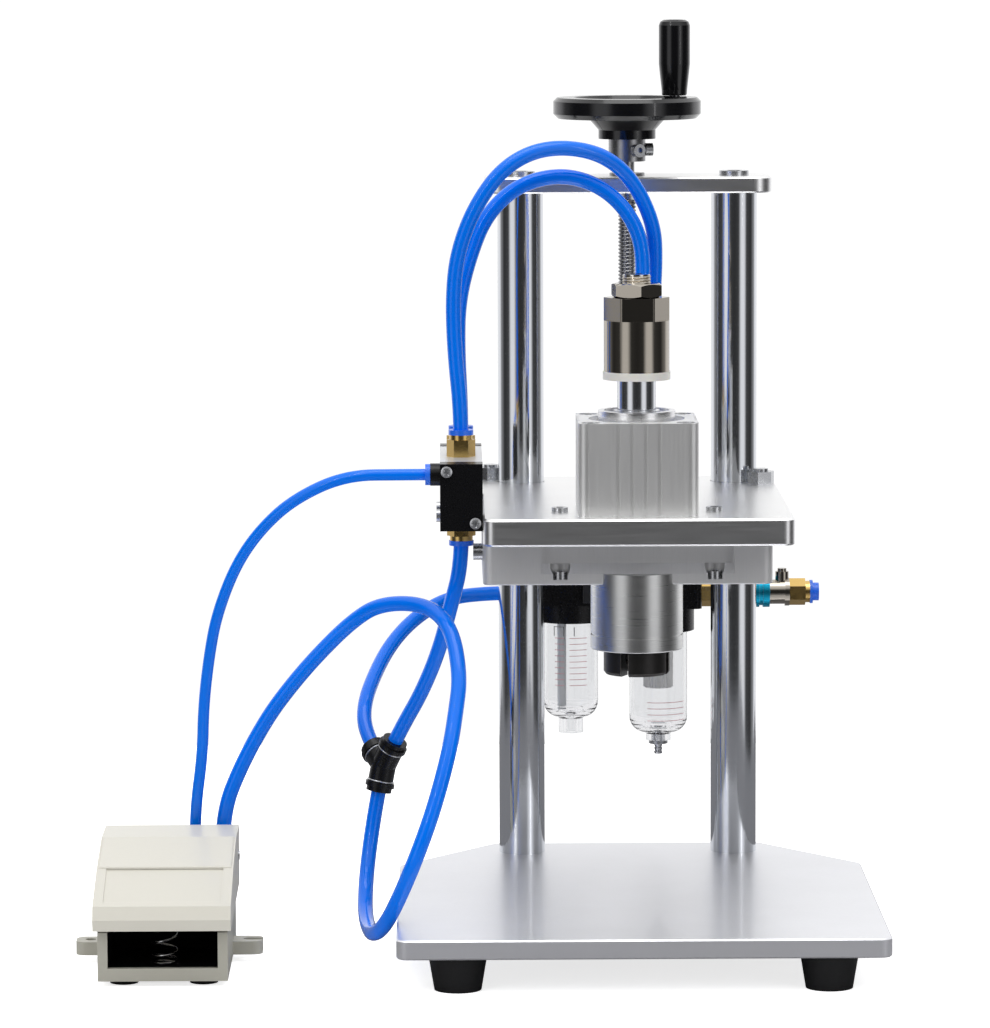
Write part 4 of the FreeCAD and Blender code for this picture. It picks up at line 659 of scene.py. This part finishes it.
# ---- studio ---------------------------------------------------------------------------------------
@dataclass
class Studio:
    """Floor, lights and camera."""

    eye: Point = (-0.0139, -2.8021, 0.5433)
    tilt: float = 0.1130
    swing: float = 0.0087
    roll: float = -0.0037
    lens: float = 186.97
    floor_size: float = 1.3
    floor_glow: float = 0.75
    floor_seen: Point = (0.92, 0.92, 0.92)
    floor_mirrored: Point = (0.20, 0.20, 0.21)
    ceiling: float = 1.10
    walls: Sequence[tuple[float, float]] = (
        (0.0, 0.035), (1.0, 1.0), (0.11, 0.05), (0.20, 0.88), (0.27, 0.88), (0.36, 0.06), (0.50, 0.04),
        (0.62, 0.25), (0.72, 0.95))

    def camera(self) -> None:
        """A long lens in front of the machine and a little above it."""
        level = math.cos(self.tilt)
        ahead = np.array([math.sin(self.swing) * level, math.cos(self.swing) * level, -math.sin(self.tilt)])
        right = np.array([math.cos(self.swing), -math.sin(self.swing), 0.0])
        up = np.cross(right, ahead)
        side = right * math.cos(self.roll) + up * math.sin(self.roll)
        top = np.cross(side, ahead)
        data = bpy.data.cameras.new("camera")
        data.lens = self.lens
        data.sensor_width = 36.0
        data.sensor_fit = "AUTO"
        data.clip_end = 50.0
        camera = bpy.data.objects.new("camera", data)
        place = Matrix.Identity(4)
        for column, axis in enumerate((side, top, -ahead)):
            for row in range(3):
                place[row][column] = axis[row]
        for row in range(3):
            place[row][3] = self.eye[row]
        camera.matrix_world = place
        bpy.context.collection.objects.link(camera)
        bpy.context.scene.camera = camera

    def floor(self) -> None:
        """A plain pale table top."""
        half = self.floor_size / 2
        side = np.linspace(-half, half, 5)
        x, y = np.meshgrid(side, side, indexing="ij")
        floor = mesh_object("floor", [(np.stack([x, y, np.zeros_like(x)], -1), False, False)])
        material = bpy.data.materials.new("pale_floor")
        material.use_nodes = True
        g = Graph(material.node_tree)
        into = material.node_tree.nodes["Principled BSDF"].inputs
        into["Roughness"].default_value = 0.9
        into["Specular IOR Level"].default_value = 0.0
        into["Emission Strength"].default_value = self.floor_glow
        seen = g.add("ShaderNodeLightPath")
        direct = g.math("MAXIMUM", seen.outputs["Is Camera Ray"], seen.outputs["Is Transmission Ray"])
        g.join(g.blend(direct, (0, 0, 0, 1), (1, 1, 1, 1)), into["Emission Color"])
        pale = g.blend(seen.outputs["Is Glossy Ray"], (*self.floor_seen, 1), (*self.floor_mirrored, 1))
        g.join(pale, into["Base Color"])
        floor.data.materials.append(material)

    def sky(self) -> None:
        """A white room behind and above, two tall soft boxes in front, and dark beside them."""
        world = bpy.data.worlds.new("studio")
        bpy.context.scene.world = world
        world.use_nodes = True
        g = Graph(world.node_tree)
        shade = world.node_tree.nodes["Background"]
        split = g.add("ShaderNodeSeparateXYZ")
        g.join(g.add("ShaderNodeTexCoord").outputs["Generated"], split.inputs[0])
        across = g.math("ABSOLUTE", split.outputs[0])
        ahead = g.math("MULTIPLY", split.outputs[1], -1.0)
        turn = g.math("DIVIDE", g.math("ARCTAN2", across, ahead), math.pi)
        ring = g.add("ShaderNodeValToRGB")
        ring.color_ramp.interpolation = "EASE"
        stops = ring.color_ramp.elements
        made = [stops[0], stops[1], *(stops.new(0.5) for _ in self.walls[2:])]
        for stop, (place, level) in zip(made, self.walls):
            stop.position = place
            stop.color = (level, level, level * 1.02, 1)
        g.join(turn, ring.inputs[0])
        rise = g.add("ShaderNodeMapRange", interpolation_type="SMOOTHSTEP")
        rise.inputs["From Min"].default_value = 0.30
        rise.inputs["From Max"].default_value = 0.75
        g.join(split.outputs[2], rise.inputs["Value"])
        room = g.blend(rise.outputs[0], ring.outputs[0], (self.ceiling, self.ceiling, self.ceiling, 1))
        seen = g.add("ShaderNodeLightPath")
        direct = g.math("MAXIMUM", seen.outputs["Is Camera Ray"], seen.outputs["Is Transmission Ray"])
        white = g.blend(seen.outputs["Is Transmission Ray"], (1.05, 1.05, 1.05, 1), (0.90, 0.91, 0.92, 1))
        g.join(g.blend(direct, room, white), shade.inputs["Color"])
        shade.inputs["Strength"].default_value = 1.0

    def lamp(self, name: str, place: Point, aim: Point, size: tuple[float, float], power: float) -> None:
        """One soft rectangular light.

        Args:
            name: The light's name.
            place: Where it stands.
            aim: What it looks at.
            size: Width and height.
            power: Watts.
        """
        data = bpy.data.lights.new(name, "AREA")
        data.shape = "RECTANGLE"
        data.size, data.size_y = size
        data.energy = power
        lamp = bpy.data.objects.new(name, data)
        turn = (Vector(aim) - Vector(place)).to_track_quat("-Z", "Y").to_matrix().to_4x4()
        lamp.matrix_world = Matrix.Translation(place) @ turn
        bpy.context.collection.objects.link(lamp)

    def build(self) -> None:
        """Everything round the machine."""
        bpy.context.scene.view_settings.view_transform = "Standard"
        self.camera()
        self.floor()
        self.sky()
        self.lamp("key_strip", (-1.1, -1.5, 1.5), (0.0, 0.0, 0.25), (0.045, 1.5), 4.2)
        self.lamp("fill_strip", (1.4, -1.4, 0.9), (0.0, 0.0, 0.25), (0.07, 1.2), 1.4)
        self.lamp("top", (0.0, -0.3, 1.9), (0.0, 0.0, 0.1), (1.4, 1.0), 10.0)
        log.info("studio ready")


# ---- machine pieces -------------------------------------------------------------------------------
@dataclass
class PedalSpring:
    """The return spring that shows through the pedal's open front."""

    wire: float = 0.0013
    outer: float = 0.014
    turns: float = 7.0

    def build(self, shop: Workshop) -> None:
        """A round wire wound as a helix between the floor of the pedal and its lid."""
        low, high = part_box("pedal_spring")
        centre = ((low[0] + high[0]) / 2, (low[1] + high[1]) / 2, 0.0)
        bottom, top = low[2] + self.wire / 2, high[2] - self.wire
        path = helix(centre, (self.outer - self.wire) / 2, bottom, top, self.turns)
        coil = mesh_object("pedal_coil", swept(path, self.wire / 2, 10))
        shop.dress(coil, SPRING_WIRE)
        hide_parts("pedal_spring")
        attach(coil, "stand")
        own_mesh(coil)
        log.info("pedal spring")


@dataclass
class ThreadedSpindle:
    """The lead screw with its real thread."""

    pitch: float = 0.002
    depth: float = 0.0009
    neck: float = 0.004
    around: int = 28
    per_turn: int = 8

    def build(self, shop: Workshop) -> None:
        """Radius R - d clip(1.3 (1 - s) - 0.15), where s = |2 frac(z/p - a/2pi) - 1|."""
        low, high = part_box("lead_screw")
        radius = (high[0] - low[0]) / 2
        centre = ((low[0] + high[0]) / 2, (low[1] + high[1]) / 2)
        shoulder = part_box("top_plate")[0][2] - 0.0002
        z = np.arange(low[2], shoulder, self.pitch / self.per_turn)[:, None]
        a = np.linspace(0, 2 * math.pi, self.around, endpoint=False)[None]
        saw = np.abs(2 * np.mod(z / self.pitch - a / (2 * math.pi), 1) - 1)
        r = radius - self.depth * np.clip(1.3 * (1 - saw) - 0.15, 0, 1)
        x, y = centre[0] + r * np.cos(a), centre[1] + r * np.sin(a)
        wall = np.stack([x, y, np.broadcast_to(z, r.shape)], -1)
        foot = np.broadcast_to([centre[0], centre[1], low[2]], (1, self.around, 3))
        neck = np.array([[self.neck, shoulder], [self.neck, high[2]], [0.0, high[2]]])
        upper = turned(neck, (centre[0], centre[1], 0.0), around=self.around)
        thread = mesh_object("spindle_thread", [(np.concatenate([foot, wall, upper]), False, True)], 50)
        shop.dress(thread, SHAFT_STEEL)
        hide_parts("lead_screw")
        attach(thread, "handwheel")
        log.info("spindle")


def ribbon(corners: Sequence[np.ndarray]) -> Sheet:
    """A closed bar between lines of points: row k joins their points k, and both ends are shut.

    Args:
        corners: The lines that the bar's long edges follow, in order round its section.

    Returns:
        The grid with whether its rows and its columns close.
    """
    wall = np.stack([np.asarray(line, float) for line in corners], axis=1)
    ends = [np.repeat(row.mean(axis=0)[None, None], wall.shape[1], axis=1) for row in (wall[0], wall[-1])]
    return np.concatenate([ends[0], wall, ends[1]]), False, True


def settle(piece: bpy.types.Object, shop: Workshop, finish: Finish, body: str) -> None:
    """Give a new piece its finish and the body that it rides on."""
    shop.dress(piece, finish)
    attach(piece, body)
    log.info("piece %s", piece.name)


@dataclass
class Bowl:
    """What shows on and in one clear bowl: the printed scale and the part that hangs in it."""

    name: str
    x: float
    y: float
    radius: float
    levels: Sequence[float]
    spans: Sequence[tuple[float, float]]
    frame_levels: Sequence[float] = ()
    siphon: float = 0.0
    siphon_aside: float = 0.005
    siphon_span: tuple[float, float] = (0.100, 0.157)
    filter_radius: float = 0.0
    pleats: int = 26

    def mark(self, level: float, span: tuple[float, float], tall: float = 0.0003) -> Sheet:
        """One printed line: C + R (sin a, -cos a) over an arc, a hair thick."""
        a = np.radians(np.linspace(span[0], span[1], 14))
        out = np.stack([np.sin(a), -np.cos(a), np.zeros_like(a)], -1)
        centre = np.array([self.x, self.y, level])
        rise = np.array([0.0, 0.0, tall])
        inner = centre + out * (self.radius - 0.00003)
        outer = centre + out * (self.radius + 0.00008)
        return ribbon([inner, outer, outer + rise, inner + rise])

    def build(self, shop: Workshop) -> None:
        """The scale, and the siphon tube or the filter inside."""
        marks = [self.mark(level, span) for level in self.levels for span in self.spans]
        settle(mesh_object(self.name + "_scale", marks), shop, SCALE_RED, "carriage")
        if self.frame_levels:
            low, high = self.frame_levels
            sides = [self.mark(low, (a - 0.8, a + 0.8), high - low) for a in (-38.0, -16.0, 6.0)]
            tops = [self.mark(high, (-38.8, -15.2))]
            bracket = mesh_object(self.name + "_frame", sides + tops)
            settle(bracket, shop, SCALE_GREY, "carriage")
        if self.siphon:
            x, (foot, head) = self.x - self.siphon_aside, self.siphon_span
            line = np.linspace((x, self.y, foot), (x, self.y, head), 12)
            tube = mesh_object("siphon_tube", swept(line, self.siphon))
            settle(tube, shop, SIPHON, "carriage")
        if self.filter_radius:
            self.element(shop)

    def element(self, shop: Workshop) -> None:
        """A pleated filter of n pleats: r = R (1 + 0.035 cos na), with its two ends shut."""
        a = np.linspace(0, 2 * math.pi, 156, endpoint=False)
        r = self.filter_radius * (1 + 0.035 * np.cos(self.pleats * a))
        heights = np.array([0.112, 0.112, 0.1125, 0.1545, 0.155, 0.155])
        share = np.array([0, 0.9, 1, 1, 0.9, 0])
        ring = np.stack([r * np.cos(a), r * np.sin(a), np.zeros_like(a)], -1)
        wall = share[:, None, None] * ring + heights[:, None, None] * np.array([0, 0, 1.0])
        wall = wall + np.array([self.x, self.y, 0.0])
        pleated = mesh_object("filter_element", [(wall, False, True)])
        settle(pleated, shop, FILTER_WHITE, "carriage")


BOWLS = (
    Bowl("oiler_bowl", 0.0536, 0.142, 0.0153, tuple(0.1412 - 0.0033 * k for k in range(9)),
         ((-36.0, -15.0), (-4.0, 34.0)), frame_levels=(0.1425, 0.1475), siphon=0.0025),
    Bowl("filter_bowl", 0.1023, 0.142, 0.0162, tuple(0.1050 - 0.0034 * k for k in range(4)), ((-24.0, 58.0),),
         filter_radius=0.008),
)


@dataclass
class CrossScrew:
    """A pan head with a cross recess, on the valve's end cap."""

    name: str
    x: float
    z: float
    face: float = -0.0713
    radius: float = 0.0029
    turn: float = 0.6

    def build(self, shop: Workshop) -> None:
        """Height over the face in mm: 0.55 (1 - (r/R)^2) + 0.3, less 0.5 within the cross's arms."""
        r = np.concatenate([[0.0], np.linspace(0.0002, self.radius, 16), [self.radius]])[:, None]
        a = np.linspace(0, 2 * math.pi, 72, endpoint=False)[None]
        across = np.minimum(np.abs(r * np.sin(a - self.turn)), np.abs(r * np.cos(a - self.turn)))
        slot = np.clip((0.00042 - across) / 0.0001, 0, 1) * np.clip((0.0019 - r) / 0.0002, 0, 1)
        height = 0.00055 * (1 - (r / self.radius) ** 2) + 0.0003 - 0.0005 * slot
        height[-1] = -0.0001
        height[0] = height[1].mean()
        front = np.stack([self.x + r * np.cos(a), self.face - height, self.z + r * np.sin(a)], -1)
        back = np.broadcast_to([self.x, self.face + 0.0001, self.z], front[:1].shape)
        head = mesh_object(self.name, [(np.concatenate([front, back]), False, True)], 28)
        settle(head, shop, SCREW_STEEL, "carriage")


@dataclass
class BranchRings:
    """The bright ring behind each collar of the branch connector."""

    centre: Point = (-0.0494, 0.020, 0.0885)
    radius: float = 0.0072
    arms: Sequence[tuple[Point, float]] = (
        ((-0.19, -0.03, -0.98), 0.0145), ((0.40, -0.32, 0.86), 0.016), ((-0.42, 0.68, 0.60), 0.014))

    def build(self, shop: Workshop) -> None:
        """A small rounded section carried round each arm."""
        rings = []
        for arm, long in self.arms:
            axis = unit(np.array(arm))
            middle = np.array(self.centre) + axis * (long - 0.0058)
            a = np.linspace(0, 2 * math.pi, 10, endpoint=False)
            section = np.stack([self.radius - 0.0004 + 0.0005 * np.cos(a), 0.0005 * np.sin(a)], -1)
            rings.append((turned(section, tuple(middle), tuple(axis), 48), True, True))
        settle(mesh_object("branch_rings", rings, 60), shop, SCREW_STEEL, "carriage")


@dataclass
class RodThread:
    """The thread that shows above the lock nut."""

    pitch: float = 0.0015
    depth: float = 0.00045

    def build(self, shop: Workshop) -> None:
        """Radius: R + d |2 frac(z/p - a/2pi) - 1|, a hair outside the rod's own end."""
        low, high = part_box("lock_nut")[1][2] - 0.001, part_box("piston_rod")[1][2] - 0.0004
        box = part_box("piston_rod")
        x, y = (box[0][0] + box[1][0]) / 2, (box[0][1] + box[1][1]) / 2
        z = np.linspace(low, high, 34)[:, None]
        a = np.linspace(0, 2 * math.pi, 64, endpoint=False)[None]
        fade = np.clip((high - z) / 0.0008, 0, 1)
        r = 0.00702 + self.depth * fade * np.abs(2 * np.mod(z / self.pitch - a / (2 * math.pi), 1) - 1)
        wall = np.stack([x + r * np.cos(a), y + r * np.sin(a), np.broadcast_to(z, r.shape)], -1)
        ends = [np.broadcast_to([x, y, level], wall[:1].shape) for level in (low, high)]
        thread = mesh_object("rod_thread", [(np.concatenate([ends[0], wall, ends[1]]), False, True)], 50)
        settle(thread, shop, NICKEL, "rod")


@dataclass
class PedalTrim:
    """The pedal's raised upper band, and a near-black sheet round the inside of its open box: painted shade.
    """

    x: float = -0.1601
    half: float = 0.0342
    slope: Sequence[tuple[float, float]] = ((-0.1053, 0.0555), (-0.0650, 0.0645))
    inner_half: float = 0.0290
    front: float = -0.1325
    middle: float = -0.10
    back: float = -0.0675

    def band(self, shop: Workshop) -> None:
        """A crowned strip on the slope: P + x X + h(x, s) N, its rim falling as a quarter ellipse."""
        (y0, z0), (y1, z1) = self.slope
        along = unit(np.array([0.0, y1 - y0, z1 - z0]))
        out = np.cross(np.array([1.0, 0.0, 0.0]), along)
        span = math.hypot(y1 - y0, z1 - z0)
        u = (1 - np.cos(np.linspace(0, math.pi, 33))) / 2
        v = (1 - np.cos(np.linspace(0, math.pi, 41))) / 2
        s, t = np.meshgrid(u * span, (2 * v - 1) * self.half, indexing="ij")
        rim = np.minimum(np.minimum(s, span - s), self.half - np.abs(t))
        lift = 0.0009 * np.sqrt(1 - (1 - np.clip(rim / 0.0012, 0, 1)) ** 2)
        base = np.array([self.x, y0, z0]) + s[..., None] * along + t[..., None] * np.array([1.0, 0, 0])
        top = base + (lift[..., None] - 0.0001) * out
        under = base - 0.0006 * out
        sheets = [(top, False, False), (under[::-1], False, False), *self.rim(top, under)]
        band = mesh_object("treadle_band", sheets, 40)
        settle(band, shop, IVORY, "treadle")

    @staticmethod
    def rim(top: np.ndarray, under: np.ndarray) -> list[Sheet]:
        """The four narrow walls between a sheet and the one beneath it."""
        edges = [(top[k], under[k]) for k in (0, -1)] + [(top[:, k], under[:, k]) for k in (0, -1)]
        return [(np.stack(pair), False, False) for pair in edges]

    def painted_shade_lining(self, shop: Workshop) -> None:
        """A thin near-black wall round three sides of the box, and its floor: painted shade for the unlit
        inside.
        """
        front, back, h = self.front, self.back, self.inner_half
        middle = self.middle
        left = [(-h, front), (-h, middle), (-h, back)]
        plan = np.array([*left, (0.0, back), *((-x, y) for x, y in reversed(left))])
        high = np.array([0.0275, 0.0365, 0.0395, 0.0395, 0.0395, 0.0365, 0.0275])
        inward = plan * np.array([0.992, 1.0]) - np.array([0.0, 0.0002])
        low = np.full(len(plan), 0.0062)
        lines = [np.column_stack([p[:, 0] + self.x, p[:, 1], z]) for p, z in
                 ((plan, low), (plan, high), (inward, high), (inward, low))]
        x, y = np.meshgrid(np.array([-h, h]) + self.x, np.array([front, back]), indexing="ij")
        floor = [np.stack([x, y, np.full_like(x, level)], -1) for level in (0.0061, 0.0064)]
        under, top = floor
        sheets = [ribbon(lines), (under, False, False), (top, False, False), *self.rim(under, top)]
        settle(mesh_object("pedal_painted_shade", sheets), shop, PAINTED_SHADE_LINER, "stand")


def dress_nodes(shop: Workshop) -> None:
    """Give each CAD node its finish."""
    for name, finish in NODE_FINISH.items():
        shop.dress(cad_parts[name], finish)
    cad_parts["clear_bowls"].visible_shadow = False
    log.info("dressed %d nodes", len(NODE_FINISH))


def main() -> None:
    """Build the studio and the machine in order."""
    logging.basicConfig(level=logging.INFO, format="%(message)s")
    shop = Workshop()
    shop.open()
    Studio().build()
    for tube in TUBES:
        tube.build(shop)
    dress_nodes(shop)
    PedalSpring().build(shop)
    ThreadedSpindle().build(shop)
    for bowl in BOWLS:
        bowl.build(shop)
    CrossScrew("cap_screw_upper", -0.0150, 0.2551).build(shop)
    CrossScrew("cap_screw_lower", -0.0002, 0.2284, turn=0.2).build(shop)
    BranchRings().build(shop)
    RodThread().build(shop)
    trim = PedalTrim()
    trim.band(shop)
    trim.painted_shade_lining(shop)


if __name__ == "__main__":
    main()
